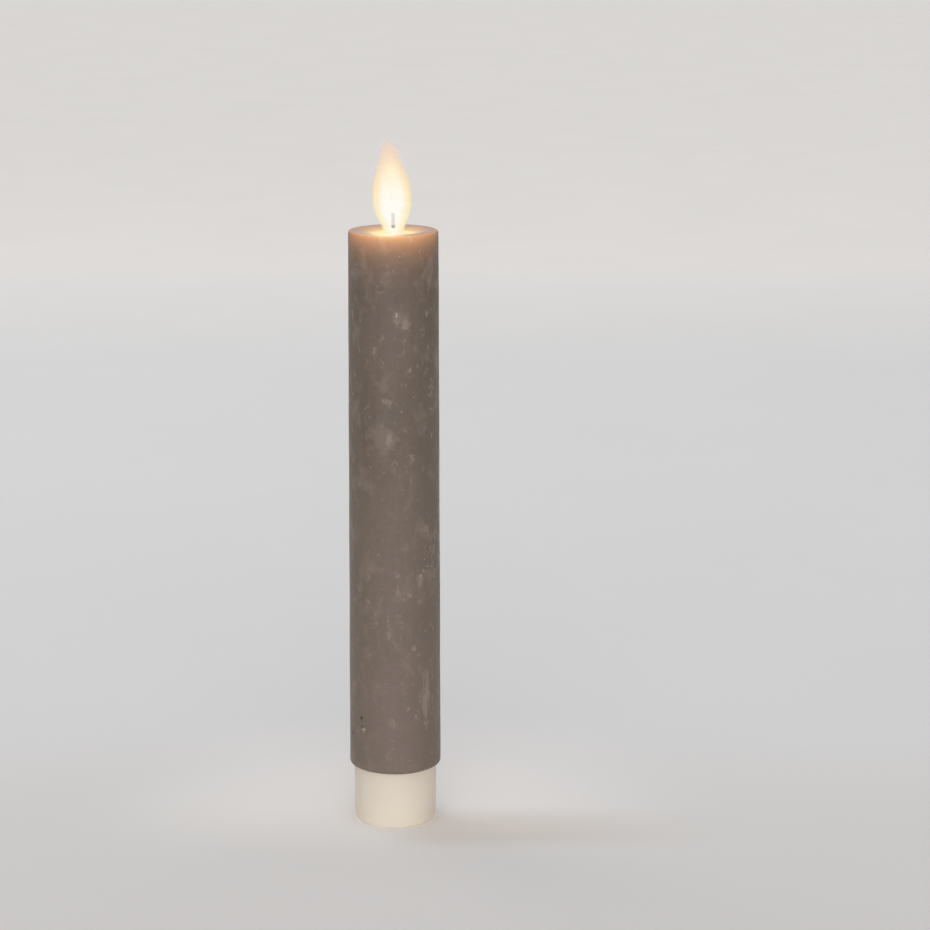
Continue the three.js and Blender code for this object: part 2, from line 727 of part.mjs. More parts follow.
// The knob is moulded on a stem that runs in the switch; its face has three grip ridges.
function switchSlider() {
  const faceZ = SHELL_RECESS_Z - 0.1;
  const depth = [-1.2, 1.2];
  const stem = box([-0.9, 0.9], [-0.6, 0.6], [1.2, STEM_TOP_Z]);
  const knob = box([-1.5, 1.5], depth, [faceZ + 0.25, SHELL_FLOOR_Z - LAY]);
  const ridges = [-1, 0, 1].map((x) => box([x - 0.2, x + 0.2], depth, [faceZ, faceZ + 0.5]));
  return join(knob, stem, ...ridges);
}

// A pan-head screw with a cross recess.
function capScrew(name, y) {
  const headZ = INSERT_FLOOR_Z + INSERT_PLATE + LAY;
  const crownZ = headZ + 1.1;
  const headR = 1.6;
  const shankR = 0.7;
  const pointZ = 3.2;
  const body = lathe(
    [
      [0, pointZ],
      [shankR, pointZ + 0.8],
      [shankR, headZ],
      [headR, headZ],
      [headR - 0.1, headZ + 0.7],
      [headR - 0.6, crownZ],
      [0, crownZ],
    ],
    SMALL,
  );
  const [long, short, deep] = [[-0.9, 0.9], [-0.22, 0.22], [crownZ - 0.6, crownZ + 1]];
  const recess = join(box(long, short, deep), box(short, long, deep));
  const made = part(name, cut(body, recess), STEEL);
  made.position.y = y;
  return made;
}

// ---------------------------------------------------------------- assembly

const candle = new THREE.Group();
candle.add(
  part("wax_sleeve", waxSleeve(), WAX),
  part("core_tube", coreTube(), IVORY),
  part("bulkhead", bulkhead(), IVORY),
  part("positive_contact", positiveContact(), NICKEL),
  part("ground_strip", groundStrip(), NICKEL),
  part("circuit_board", disc(BOARD_R, BOARD_Z, BOARD_TOP_Z, MEDIUM), BOARD_GREEN),
  part("driver_chip", driverChip(), BLACK_PLASTIC),
  part("timer_crystal", timerCrystal(), STEEL),
  part("filter_capacitor", boardBlock(0, 3.2, CAPACITOR, -1), CERAMIC),
  part("led_resistor", boardBlock(-4.6, -2.6, RESISTOR, 1), BLACK_PLASTIC),
  part("coil_resistor", boardBlock(4.6, -2.6, RESISTOR, 1), BLACK_PLASTIC),
  part("housing_front", housingHalf(-1), BLACK_PLASTIC),
  part("housing_rear", housingHalf(1), BLACK_PLASTIC),
  part("coil_bobbin", coilBobbin(), IVORY),
  part("coil_winding", coilWinding(), COPPER),
  part("coil_lead_a", coilLead(200), COPPER),
  part("coil_lead_b", coilLead(220), COPPER),
  ledPlace(part("led", led(), LENS)),
  part("led_holder", ledHolder(), BLACK_PLASTIC),
  part("led_lead_a", ledLead(-1), RED_LEAD),
  part("led_lead_b", ledLead(1), BLACK_PLASTIC),
  part("flame_seat", flameSeat(), IVORY),
  part("pivot_wire", pivotWire(), STEEL),
);

const flame = new THREE.Group();
flame.position.z = PIVOT_Z;
flame.add(
  part("flame_blade", flameBlade(), FLAME_SHEET),
  part("wick", wick(), WICK_FIBRE),
  part("magnet_front", magnet(-1), NICKEL),
  part("magnet_rear", magnet(1), NICKEL),
);

const cells = new THREE.Group();
for (const [i, name] of ["cell_lower", "cell_upper"].entries()) {
  const made = part(name, cell(), CELL_JACKET);
  made.position.z = CELL_FOOT_Z + i * (CELL_LENGTH + CELL_GAP);
  cells.add(made);
}

const base = new THREE.Group();
base.add(
  part("base_shell", baseShell(), IVORY),
  part("cap_insert", capInsert(), IVORY),
  part("contact_ring", contactRing(), NICKEL),
  part("negative_spring", negativeSpring(), NICKEL),
  part("switch_board", switchBoard(), BOARD_GREEN),
  part("switch_case", switchCase(), STEEL),
  capScrew("cap_screw_a", -SCREW_Y),
  capScrew("cap_screw_b", SCREW_Y),
);

// The knob is stored at one end of its travel, which is the on position.
const knob = part("switch_slider", switchSlider(), BLACK_PLASTIC);
knob.position.x = -SWITCH_TRAVEL / 2;
base.add(knob);

const whole = new THREE.Group();
whole.add(candle, flame, cells, base);

export default whole;
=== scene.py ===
"""The looks of a flameless LED dinner candle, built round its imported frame.

Everything is placed in the frame's own axes: +Z up, with the candle's front facing -Y. Sizes are
written in millimetres and turned into metres as the meshes are made.
"""

import math

import bpy
import numpy as np
from mathutils import Matrix, Vector, noise


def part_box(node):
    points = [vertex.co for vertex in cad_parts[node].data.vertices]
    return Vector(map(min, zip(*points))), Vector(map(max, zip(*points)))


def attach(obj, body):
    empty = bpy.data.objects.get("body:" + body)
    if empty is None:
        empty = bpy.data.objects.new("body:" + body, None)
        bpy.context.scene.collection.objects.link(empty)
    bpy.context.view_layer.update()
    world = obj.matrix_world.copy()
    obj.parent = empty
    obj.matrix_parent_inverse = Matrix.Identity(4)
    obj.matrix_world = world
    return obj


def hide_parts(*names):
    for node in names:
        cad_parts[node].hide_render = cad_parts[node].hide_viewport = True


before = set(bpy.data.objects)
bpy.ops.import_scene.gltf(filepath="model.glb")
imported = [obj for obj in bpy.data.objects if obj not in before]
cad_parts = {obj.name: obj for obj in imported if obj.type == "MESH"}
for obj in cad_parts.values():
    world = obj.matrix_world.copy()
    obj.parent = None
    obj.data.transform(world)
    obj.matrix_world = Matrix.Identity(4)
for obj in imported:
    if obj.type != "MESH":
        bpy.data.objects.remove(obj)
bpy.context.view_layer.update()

MM = 0.001
TAU = 2 * math.pi
SHARP = 35  # degrees: flatter edges than this are shaded smooth

# ---- sizes in mm, from the frame where it has them ----


def heights(node):
    low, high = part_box(node)
    return low.z / MM, high.z / MM


def radius_of(node):
    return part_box(node)[1].x / MM


WAX_FOOT, RIM = heights("wax_sleeve")
FOOT_R = radius_of("wax_sleeve")
RIM_R = FOOT_R - 0.5
DISH_R = 7.45
MOUTH_R = 4.95
MOUTH_DEPTH = 0.9
BORE_R = radius_of("core_tube") + 0.15
TUBE_TOP = heights("core_tube")[1]
BASE_TOP = heights("base_shell")[1]
BASE_R = radius_of("base_shell")
FLAME_TIP = heights("flame_blade")[1]
CELL_FOOT = heights("cell_lower")[0]
CELL_PITCH = heights("cell_upper")[0] - CELL_FOOT
PLATE_FOOT = heights("cap_insert")[0]
PLATE_TOP = PLATE_FOOT + 1.2
COLLAR_R = 8.5
COLLAR_BORE_R = 7.5
LUG_LEVELS = (17.4, 18.8)
SCREW_Y = 5.6
CUP_BORE_R = 9.05
CUP_FLOOR = 1.8
RECESS_R = 6.9
RECESS = 0.5
BASE_EDGE = 0.8
GLOW_DEPTH = 2.8
DOME_STRENGTH = 1.37

# ---- mesh helpers ----


def shade(mesh, sharp=SHARP):
    """Smooth shading, with the edges sharper than so many degrees kept."""
    mesh.shade_smooth()
    mesh.set_sharp_from_angle(angle=math.radians(sharp))


def placed(name, data):
    """A new object in the scene."""
    made = bpy.data.objects.new(name, data)
    bpy.context.scene.collection.objects.link(made)
    return made


def mesh_piece(name, verts, faces, materials, face_materials=None, sharp=SHARP):
    """A mesh object from points in millimetres."""
    mesh = bpy.data.meshes.new(name)
    mesh.from_pydata([tuple(c * MM for c in v) for v in verts], [], faces)
    for material in materials:
        mesh.materials.append(material)
    if face_materials is not None:
        mesh.polygons.foreach_set("material_index", face_materials)
    shade(mesh, sharp)
    mesh.validate()
    return placed(name, mesh)


def rounded(corners, closed=True, steps=4):
    """An outline whose corners are (r, z) or (r, z, fillet), with each fillet turned into a curve."""
    points = []
    count = len(corners)
    for i, corner in enumerate(corners):
        here = np.array(corner[:2], float)
        fillet = corner[2] if len(corner) > 2 else 0
        if not fillet or (not closed and i in (0, count - 1)):
            points.append(tuple(here))
            continue
        before = np.array(corners[i - 1][:2], float) - here
        after = np.array(corners[(i + 1) % count][:2], float) - here
        start = here + before / np.linalg.norm(before) * fillet
        end = here + after / np.linalg.norm(after) * fillet
        for t in np.linspace(0, 1, steps + 1):
            points.append(tuple((1 - t) ** 2 * start + 2 * t * (1 - t) * here + t**2 * end))
    return points


def revolve(name, outline, materials, columns=128, zones=None, relief=None):
    """A solid of revolution about Z.

    The outline is anticlockwise, and runs from axis to axis or closes on itself. zones gives the
    material index of each stretch by a function of (r, z). relief moves a whole ring of points.
    """
    rows = np.array(outline, float)
    on_axis = rows[:, 0] < 1e-6
    closed = not on_axis.any()
    angles = np.linspace(0, TAU, columns, endpoint=False)
    verts = []
    first = []
    for (r, z), pole in zip(rows, on_axis):
        first.append(len(verts))
        if pole:
            verts.append((0, 0, z))
            continue
        ring = np.stack([r * np.cos(angles), r * np.sin(angles), np.full(columns, z)], 1)
        verts.extend(relief(ring) if relief else ring)
    faces = []
    indices = []
    last = len(rows) if closed else len(rows) - 1
    for i in range(last):
        k = (i + 1) % len(rows)
        middle = (rows[i] + rows[k]) / 2
        index = zones(*middle) if zones else 0
        for j in range(columns):
            n = (j + 1) % columns
            a = first[i] if on_axis[i] else first[i] + j
            b = first[i] if on_axis[i] else first[i] + n
            c = first[k] if on_axis[k] else first[k] + n
            d = first[k] if on_axis[k] else first[k] + j
            faces.append(list(dict.fromkeys((a, b, c, d))))
            indices.append(index)
    return mesh_piece(name, verts, faces, materials, indices)


def sweep(name, path, radius, materials, sides=12):
    """A round wire along a path. radius may be a function of (share of the path, angle)."""
    path = np.array(path, float)
    ahead = np.gradient(path, axis=0)
    ahead /= np.linalg.norm(ahead, axis=1)[:, None]
    side = np.cross(ahead[0], (0.31, 0.17, 0.94))
    verts = []
    for i, (point, way) in enumerate(zip(path, ahead)):
        side = side - way * np.dot(side, way)
        side /= np.linalg.norm(side)
        up = np.cross(way, side)
        for j in range(sides):
            a = TAU * j / sides
            r = radius(i / (len(path) - 1), a) if callable(radius) else radius
            verts.append(point + r * (math.cos(a) * side + math.sin(a) * up))
    faces = []
    for i in range(len(path) - 1):
        for j in range(sides):
            n = (j + 1) % sides
            faces.append([i * sides + j, i * sides + n, (i + 1) * sides + n, (i + 1) * sides + j])
    faces.append(list(range(sides))[::-1])
    faces.append([(len(path) - 1) * sides + j for j in range(sides)])
    return mesh_piece(name, verts, faces, materials, sharp=60)


def block(name, low, high):
    """A plain box, used to cut with or as the start of a bevelled piece."""
    corners = [(x, y, z) for x in (low[0], high[0]) for y in (low[1], high[1]) for z in (low[2], high[2])]
    faces = [(0, 1, 3, 2), (4, 6, 7, 5), (0, 4, 5, 1), (2, 3, 7, 6), (0, 2, 6, 4), (1, 5, 7, 3)]
    return mesh_piece(name, corners, faces, [])


def arc_block(name, radii, degrees, levels, steps=12):
    """A piece of a thick ring between two angles in degrees, measured from +X."""
    verts = []
    (inner, outer), (low, high) = radii, levels
    for a in np.radians(np.linspace(*degrees, steps)):
        for r, z in ((inner, low), (outer, low), (outer, high), (inner, high)):
            verts.append((r * math.cos(a), r * math.sin(a), z))
    faces = [[3, 2, 1, 0], [4 * steps - 4 + j for j in range(4)]]
    for i in range(steps - 1):
        for j in range(4):
            n = (j + 1) % 4
            faces.append([4 * i + j, 4 * i + n, 4 * (i + 1) + n, 4 * (i + 1) + j])
    return mesh_piece(name, verts, faces, [])


def bevelled(piece, width_mm, segments=3):
    """Rounds the piece's sharp edges."""
    modifier = piece.modifiers.new("round", "BEVEL")
    modifier.width = width_mm * MM
    modifier.segments = segments
    modifier.limit_method = "ANGLE"
    return settle(piece)


def settle(piece):
    """Applies the piece's modifiers to its mesh."""
    bpy.context.view_layer.update()
    evaluated = piece.evaluated_get(bpy.context.evaluated_depsgraph_get())
    mesh = bpy.data.meshes.new_from_object(evaluated)
    piece.modifiers.clear()
    piece.data = mesh
    return piece


def combine(piece, others, operation):
    """Joins others to the piece, or cuts them out of it."""
    for other in others:
        modifier = piece.modifiers.new(operation, "BOOLEAN")
        modifier.object = other
        modifier.operation = operation
        modifier.solver = "EXACT"
        settle(piece)
        bpy.data.objects.remove(other)
    shade(piece.data)
    return piece


def painted(piece, material):
    """Gives the whole piece one material."""
    piece.data.materials.clear()
    piece.data.materials.append(material)
    piece.data.polygons.foreach_set("material_index", [0] * len(piece.data.polygons))
    shade(piece.data)


def moved(piece, x=0.0, y=0.0):
    """The piece's mesh, moved by so many millimetres."""
    piece.data.transform(Matrix.Translation((x * MM, y * MM, 0)))
    return piece


def store(piece, fields):
    """Writes one number for each point of the mesh, for the materials to read."""
    for name, field in fields.items():
        attribute = piece.data.attributes.new(name, "FLOAT", "POINT")
        attribute.data.foreach_set("value", np.array(field, np.float32))


def stand_in(piece, node, body):
    """Shows the piece in place of a frame node, on that node's body."""
    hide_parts(node)
    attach(piece, body)


# ---- material helpers ----


def colour(red, green, blue):
    """A linear colour from 0-255 display values."""
    channels = [c / 255 for c in (red, green, blue)]
    return (*[c / 12.92 if c <= 0.04045 else ((c + 0.055) / 1.055) ** 2.4 for c in channels], 1)


class Nodes:
    """Short calls for the nodes that the materials and the world share."""

    def __init__(self, tree):
        self.tree = tree

    def add(self, kind, **settings):
        node = self.tree.nodes.new(kind)
        for key, value in settings.items():
            setattr(node, key, value)
        return node

    def feed(self, target, source):
        if isinstance(source, bpy.types.NodeSocket):
            self.tree.links.new(source, target)
        else:
            target.default_value = source

    def span(self, value, low, high, to_low=0.0, to_high=1.0, smooth=True):
        """value from low..high to to_low..to_high, clamped."""
        node = self.add("ShaderNodeMapRange")
        node.interpolation_type = "SMOOTHSTEP" if smooth else "LINEAR"
        self.feed(node.inputs["Value"], value)
        for key, number in zip(("From Min", "From Max", "To Min", "To Max"), (low, high, to_low, to_high)):
            node.inputs[key].default_value = number
        return node.outputs[0]

    def calc(self, operation, a, b=0.0):
        node = self.add("ShaderNodeMath", operation=operation)
        self.feed(node.inputs[0], a)
        self.feed(node.inputs[1], b)
        return node.outputs[0]

    def product(self, *values):
        total = values[0]
        for value in values[1:]:
            total = self.calc("MULTIPLY", total, value)
        return total

    def ramp(self, factor, stops):
        node = self.add("ShaderNodeValToRGB")
        self.feed(node.inputs[0], factor)
        elements = node.color_ramp.elements
        while len(elements) < len(stops):
            elements.new(0.5)
        for element, (position, value) in zip(elements, stops):
            element.position = position
            element.color = value
        return node.outputs[0]


class Look(Nodes):
    """A material and short calls for what its own surface needs."""

    def __init__(self, name, base, roughness, **sockets):
        self.material = bpy.data.materials.new(name)
        self.material.use_nodes = True
        super().__init__(self.material.node_tree)
        self.shader = self.tree.nodes["Principled BSDF"]
        self.place = self.add("ShaderNodeTexCoord").outputs["Object"]
        self.set("Base Color", base)
        self.set("Roughness", roughness)
        for socket, value in sockets.items():
            self.set(socket.replace("_", " "), value)

    def set(self, socket, value):
        self.feed(self.shader.inputs[socket], value)

    def stretched(self, x, y, z):
        node = self.add("ShaderNodeMapping")
        self.feed(node.inputs["Vector"], self.place)
        node.inputs["Scale"].default_value = (x, y, z)
        return node.outputs[0]

    def noise(self, size_mm, detail=2.0, roughness=0.5, stretch=(1, 1, 1), distortion=0.0):
        """Noise whose blotches are about size_mm across."""
        node = self.add("ShaderNodeTexNoise")
        self.feed(node.inputs["Vector"], self.stretched(*stretch))
        node.inputs["Scale"].default_value = 0.5 / (size_mm * MM)
        node.inputs["Detail"].default_value = detail
        node.inputs["Roughness"].default_value = roughness
        node.inputs["Distortion"].default_value = distortion
        return node.outputs[0]

    def mix(self, factor, a, b, blend="MIX"):
        node = self.add("ShaderNodeMix", data_type="RGBA", blend_type=blend)
        self.feed(node.inputs[0], factor)
        self.feed(node.inputs[6], a)
        self.feed(node.inputs[7], b)
        return node.outputs[2]

    def attribute(self, name):
        return self.add("ShaderNodeAttribute", attribute_name=name).outputs["Fac"]

    def axis(self, index):
        """One of the piece's own coordinates, in millimetres."""
        node = self.add("ShaderNodeSeparateXYZ")
        self.feed(node.inputs[0], self.place)
        return self.calc("DIVIDE", node.outputs[index], MM)

    def radius(self):
        """The distance from the candle's axis, in millimetres."""
        node = self.add("ShaderNodeVectorMath", operation="LENGTH")
        self.feed(node.inputs[0], self.stretched(1, 1, 0))
        return self.calc("DIVIDE", node.outputs["Value"], MM)

    def bump(self, height, depth_mm):
        node = self.add("ShaderNodeBump")
        node.inputs["Strength"].default_value = 1.0
        node.inputs["Distance"].default_value = depth_mm * MM
        self.feed(node.inputs["Height"], height)
        self.set("Normal", node.outputs[0])


# ---- materials ----


def wax_look():
    """Cold-poured taupe wax: cloudy, with frosted scuffs, and glowing where the flame stands."""
    look = Look("rustic_wax", colour(118, 103, 94), 0.6)
    cloud = look.noise(11, 3, 0.55, stretch=(1, 1, 0.6))
    grain = look.noise(1.0, 4, 0.6)
    streak = look.noise(0.8, 3, 0.6, stretch=(1, 1, 0.06))
    hairline = look.noise(0.5, 2, 0.5, stretch=(0.14, 0.14, 1))
    body = look.ramp(
        cloud,
        [
            (0.32, colour(106, 94, 82)),
            (0.50, colour(113, 99, 88)),
            (0.68, colour(118, 103, 93)),
        ],
    )
    body = look.mix(look.span(grain, 0.40, 0.66, 0, 0.35), body, colour(127, 113, 103))
    body = look.mix(look.span(streak, 0.56, 0.74, 0, 0.22), body, colour(142, 128, 116))
    body = look.mix(look.span(streak, 0.44, 0.30, 0, 0.22), body, colour(96, 84, 74))
    body = look.mix(look.span(hairline, 0.64, 0.76, 0, 0.14), body, colour(150, 137, 126))
    body = look.mix(look.span(look.axis(2), 95, 35, 0, 0.5), body, colour(130, 113, 104))
    body = look.mix(look.span(look.axis(2), 60, 142, 0, 1), body, (0.88, 0.87, 0.86, 1), "MULTIPLY")
    # Painted shade, with an olive tint: the wax darkens towards its left and right sides as seen from the
    # front.
    painted_side_shade = look.span(look.calc("ABSOLUTE", look.axis(0)), 0.3 * RIM_R, 0.9 * RIM_R, 0, 0.6)
    body = look.mix(painted_side_shade, body, (0.84, 0.88, 0.80, 1), "MULTIPLY")
    scuff = look.attribute("scuff")
    veil = look.noise(2.6, 3, 0.55, stretch=(1, 1, 0.8), distortion=0.4)
    veil = look.calc("ADD", veil, look.product(scuff, 0.10))
    body = look.mix(look.span(veil, 0.52, 0.70, 0, 0.38), body, colour(144, 130, 119))
    blotch = look.noise(0.9, 3, 0.6, stretch=(1, 1, 0.6), distortion=0.6)
    crumb = look.noise(0.4, 2, 0.5)
    frost = look.calc("ADD", look.product(blotch, 0.7), look.product(crumb, 0.3))
    frost = look.calc("ADD", frost, look.product(scuff, 0.15))
    body = look.mix(look.span(frost, 0.55, 0.74, 0, 0.5), body, colour(160, 145, 133))
    fleck = look.span(look.calc("ADD", crumb, look.product(scuff, 0.11)), 0.74, 0.80)
    body = look.mix(look.product(fleck, 0.7), body, colour(196, 184, 171))
    fibre = look.noise(0.35, 2, 0.6, stretch=(1, 1, 0.08))
    torn = look.product(look.attribute("gouge"), look.span(fibre, 0.36, 0.64, 0.1, 0.75))
    body = look.mix(torn, body, colour(150, 136, 125))
    pit = look.attribute("pit")
    body = look.mix(look.span(pit, 0.2, 0.8), body, colour(34, 28, 24))
    look.set("Base Color", body)
    look.set("Roughness", look.span(grain, 0.3, 0.7, 0.46, 0.64))
    look.set("Sheen Weight", 0.06)
    look.set("Sheen Roughness", 0.35)
    look.set("Sheen Tint", (0.85, 0.93, 1.0, 1))
    look.set("Subsurface Weight", 0.2)
    look.set("Subsurface Radius", (1.0, 0.45, 0.25))
    look.set("Subsurface Scale", 1.2 * MM)
    height = look.calc("ADD", look.product(grain, 0.6), look.product(streak, 0.4))
    height = look.calc("ADD", height, look.product(look.span(frost, 0.56, 0.74), 0.3))
    look.bump(height, 0.06)
    wax_glow(look)
    return look.material


def wax_glow(look):
    """The light that soaks into the wax: orange and fading fast down the wall, peach on top.

    The LED stands in front of the blade, so the front of the wall glows more than its sides, and a
    pool of light lies between the blade and the front of the rim.
    """
    x = look.axis(0)
    y = look.axis(1)
    z = look.axis(2)
    r = look.radius()
    near = look.span(y, -RIM_R, -0.4 * RIM_R, 1, 0.45, smooth=False)
    ahead = look.product(near, look.span(y, -0.45 * RIM_R, -0.1 * RIM_R, 1, 0.4))
    fading = look.calc("EXPONENT", look.calc("DIVIDE", look.calc("SUBTRACT", z, RIM), GLOW_DEPTH))
    wall = look.product(fading, ahead, 0.8)
    top = look.product(look.span(r, RIM_R - 0.05, RIM_R - 0.6), look.span(z, RIM - 3, RIM - 2.7))
    peach = look.ramp(
        look.span(r, RIM_R, MOUTH_R, smooth=False),
        [
            (0.0, (0.33, 0.225, 0.19, 1)),
            (0.4, (0.37, 0.24, 0.185, 1)),
            (0.62, (0.46, 0.28, 0.17, 1)),
            (0.8, (0.70, 0.43, 0.20, 1)),
            (1.0, (0.95, 0.74, 0.36, 1)),
        ],
    )
    far = look.product(look.span(y, -3, 6), look.span(r, 6.8, 8.2, 0.15, 1))
    peach = look.mix(far, peach, (0.90, 0.93, 1.0, 1), "MULTIPLY")
    offset = look.calc("DIVIDE", look.calc("ADD", x, 1.5), 3.9)
    pool = look.calc("EXPONENT", look.product(offset, offset, -1))
    pool = look.product(pool, look.span(y, -1, -4.5))
    pool_r = DISH_R - 0.05
    peach = look.mix(look.product(pool, look.span(r, RIM_R, pool_r, 0.7, 1)), peach, (1, 0.86, 0.42, 1))
    peach = look.mix(look.product(pool, look.span(r, pool_r, 5.6)), peach, (1, 0.99, 0.80, 1))
    upper = look.product(pool, look.span(z, RIM - 1.6, RIM))
    amber = look.mix(upper, (1, 0.42, 0.15, 1), (1, 0.57, 0.22, 1))
    look.set("Emission Color", look.mix(top, amber, peach))
    wall = look.product(wall, look.span(top, 0, 1, 1, 0))
    look.set("Emission Strength", look.calc("ADD", wall, top))


def flame_look():
    """A thin frosted blade lit from below: white-hot low in the middle, peach at the edges."""
    look = Look("lit_flame", colour(44, 41, 36), 0.45)
    height = look.attribute("height")
    edge = look.attribute("edge")
    rim = look.attribute("rim")
    core = look.ramp(
        height,
        [
            (0.0, colour(255, 253, 244)),
            (0.16, colour(253, 252, 245)),
            (0.32, colour(253, 250, 242)),
            (0.42, colour(255, 250, 232)),
            (0.55, colour(255, 244, 216)),
            (0.66, colour(255, 239, 205)),
            (0.76, colour(250, 226, 192)),
            (0.87, colour(243, 215, 190)),
            (1.0, colour(230, 211, 198)),
        ],
    )
    skin = look.ramp(
        height,
        [
            (0.0, colour(252, 238, 190)),
            (0.2, colour(250, 234, 184)),
            (0.45, colour(250, 224, 172)),
            (0.65, colour(243, 218, 186)),
            (0.85, colour(234, 212, 195)),
            (1.0, colour(226, 210, 201)),
        ],
    )
    frost = look.noise(0.4, 3, 0.6)
    glow = look.mix(look.span(edge, 0.04, 1.0), skin, core)
    look.set("Emission Color", glow)
    look.set("Emission Strength", look.span(frost, 0.2, 0.8, 0.94, 1.0))
    fade = look.product(look.span(edge, -0.02, 0.3, 0.05, 1), look.span(height, 1.02, 0.84, 0.15, 1))
    look.set("Alpha", look.calc("MAXIMUM", fade, rim))
    look.set("Specular IOR Level", 0.2)
    look.bump(frost, 0.02)
    return look.material


def wick_look():
    """A braided stub, with a painted shade darker at its foot, and washed out by the glare painted round
    it.
    """
    look = Look("wick_fibre", colour(46, 43, 40), 0.9, Sheen_Weight=0.2)
    fibre = look.noise(0.12, 3, 0.6, stretch=(1, 1, 0.25))
    # Painted light: the stub's colour is emitted, bright with glare next to the rim, then a painted shade
    # just above its foot, then pale.
    lit = look.ramp(
        look.span(look.axis(2), RIM + 0.4, RIM + 2.4, 0, 1, smooth=False),
        [
            (0.0, colour(255, 240, 206)),
            (0.14, colour(236, 206, 160)),
            (0.28, colour(168, 138, 106)),
            (0.42, colour(202, 186, 166)),
            (0.58, colour(238, 231, 220)),
        ],
    )
    lit = look.mix(look.span(fibre, 0.45, 0.75, 0, 0.5), lit, colour(200, 191, 178))
    look.set("Emission Color", lit)
    look.set("Emission Strength", look.span(fibre, 0.2, 0.8, 0.86, 0.94))
    look.bump(fibre, 0.04)
    return look.material


def moulded_look(name, base, low, high, roughness, grain_mm=0.35, **sockets):
    """Moulded plastic: faint flow clouds and the fine texture of an eroded mould."""
    look = Look(name, base, roughness, **sockets)
    flow = look.noise(14, 2, 0.5)
    grain = look.noise(grain_mm, 2, 0.5)
    look.set("Base Color", look.mix(look.span(flow, 0.3, 0.7), low, high))
    look.set("Roughness", look.span(flow, 0.3, 0.7, roughness - 0.04, roughness + 0.05))
    look.bump(grain, 0.012)
    return look


def ivory_look():
    low = colour(229, 218, 201)
    high = colour(235, 224, 208)
    look = moulded_look("ivory_plastic", high, low, high, 0.42, Subsurface_Weight=0.25)
    look.set("Subsurface Radius", (1.0, 0.85, 0.6))
    look.set("Subsurface Scale", 1.6 * MM)
    return look.material


def warm_ivory_look():
    """The ring round the flame, with the LED's light on and through it."""
    low = colour(150, 138, 112)
    high = colour(156, 143, 118)
    look = moulded_look("lit_ivory", high, low, high, 0.4)
    near = look.ramp(
        look.span(look.radius(), 3.5, MOUTH_R - 0.05),
        [(0.0, colour(255, 252, 228)), (1.0, colour(251, 220, 154))],
    )
    look.set("Emission Color", near)
    look.set("Emission Strength", look.span(look.axis(2), TUBE_TOP - 2, TUBE_TOP + 1, 0, 1))
    return look.material


def black_look():
    low = colour(26, 26, 28)
    high = colour(38, 38, 40)
    return moulded_look("black_plastic", colour(30, 30, 32), low, high, 0.5).material


def metal_look(name, base, dull, roughness, stretch=(1, 1, 0.06)):
    """Drawn or plated metal, with fine draw lines and dull patches."""
    look = Look(name, base, roughness, Metallic=1.0)
    patch = look.noise(3, 3, 0.6)
    lines = look.noise(0.12, 3, 0.7, stretch=stretch)
    look.set("Base Color", look.mix(look.span(patch, 0.4, 0.75, 0, 0.7), base, dull))
    worn = look.span(patch, 0.3, 0.7, roughness - 0.08, roughness + 0.1)
    look.set("Roughness", look.calc("ADD", worn, look.span(lines, 0.3, 0.7, -0.04, 0.06)))
    look.bump(lines, 0.006)
    return look.material


def copper_look():
    """Enamelled winding: a fine stack of turns."""
    look = Look("copper_wire", colour(176, 92, 48), 0.3, Metallic=1.0, Coat_Weight=0.5)
    turns = look.add("ShaderNodeTexWave", bands_direction="Z")
    look.feed(turns.inputs["Vector"], look.place)
    turns.inputs["Scale"].default_value = 0.31 / (0.2 * MM)
    patch = look.noise(2, 2, 0.5)
    look.set("Base Color", look.mix(look.span(patch, 0.35, 0.7), colour(184, 98, 52), colour(142, 66, 34)))
    look.set("Roughness", look.span(patch, 0.3, 0.7, 0.24, 0.38))
    look.bump(turns.outputs[1], 0.05)
    return look.material


def board_look():
    """Green solder mask with raised tracks under it."""
    look = Look("board", colour(24, 92, 52), 0.35, Coat_Weight=0.3)
    cells = look.add("ShaderNodeTexVoronoi", feature="DISTANCE_TO_EDGE", distance="MANHATTAN")
    look.feed(cells.inputs["Vector"], look.stretched(1, 1, 0))
    cells.inputs["Scale"].default_value = 0.6 / MM
    track = look.span(cells.outputs[0], 0.06, 0.1, 1, 0)
    weave = look.noise(0.3, 2, 0.5)
    body = look.mix(track, colour(18, 74, 44), colour(42, 122, 70))
    look.set("Base Color", look.mix(look.span(weave, 0.4, 0.7, 0, 0.35), body, colour(14, 60, 36)))
    look.set("Roughness", look.span(weave, 0.3, 0.7, 0.3, 0.42))
    look.bump(track, 0.03)
    return look.material


def ceramic_look():
    look = Look("ceramic_body", colour(150, 128, 100), 0.55)
    ends = look.span(look.calc("ABSOLUTE", look.axis(0)), 1.05, 1.12)
    grain = look.noise(0.15, 2, 0.6)
    look.set("Base Color", look.mix(ends, colour(160, 136, 106), colour(190, 190, 188)))
    look.set("Metallic", ends)
    look.set("Roughness", look.span(grain, 0.3, 0.7, 0.4, 0.6))
    look.bump(grain, 0.01)
    return look.material


def lens_look():
    """Warm-white LED epoxy, lit from inside."""
    look = Look("led_lens", colour(255, 226, 160), 0.12, Coat_Weight=0.4)
    haze = look.noise(0.8, 2, 0.5)
    look.set("Emission Color", look.mix(haze, colour(255, 236, 180), colour(255, 206, 120)))
    look.set("Emission Strength", look.span(haze, 0.2, 0.8, 2.5, 4.0))
    look.bump(haze, 0.01)
    return look.material


def lead_look(name, base):
    look = Look(name, base, 0.35)
    sheath = look.noise(0.5, 2, 0.5)
    look.set("Base Color", look.mix(look.span(sheath, 0.3, 0.7, 0, 0.3), base, colour(60, 50, 48)))
    look.set("Roughness", look.span(sheath, 0.3, 0.7, 0.3, 0.42))
    look.bump(sheath, 0.01)
    return look.material


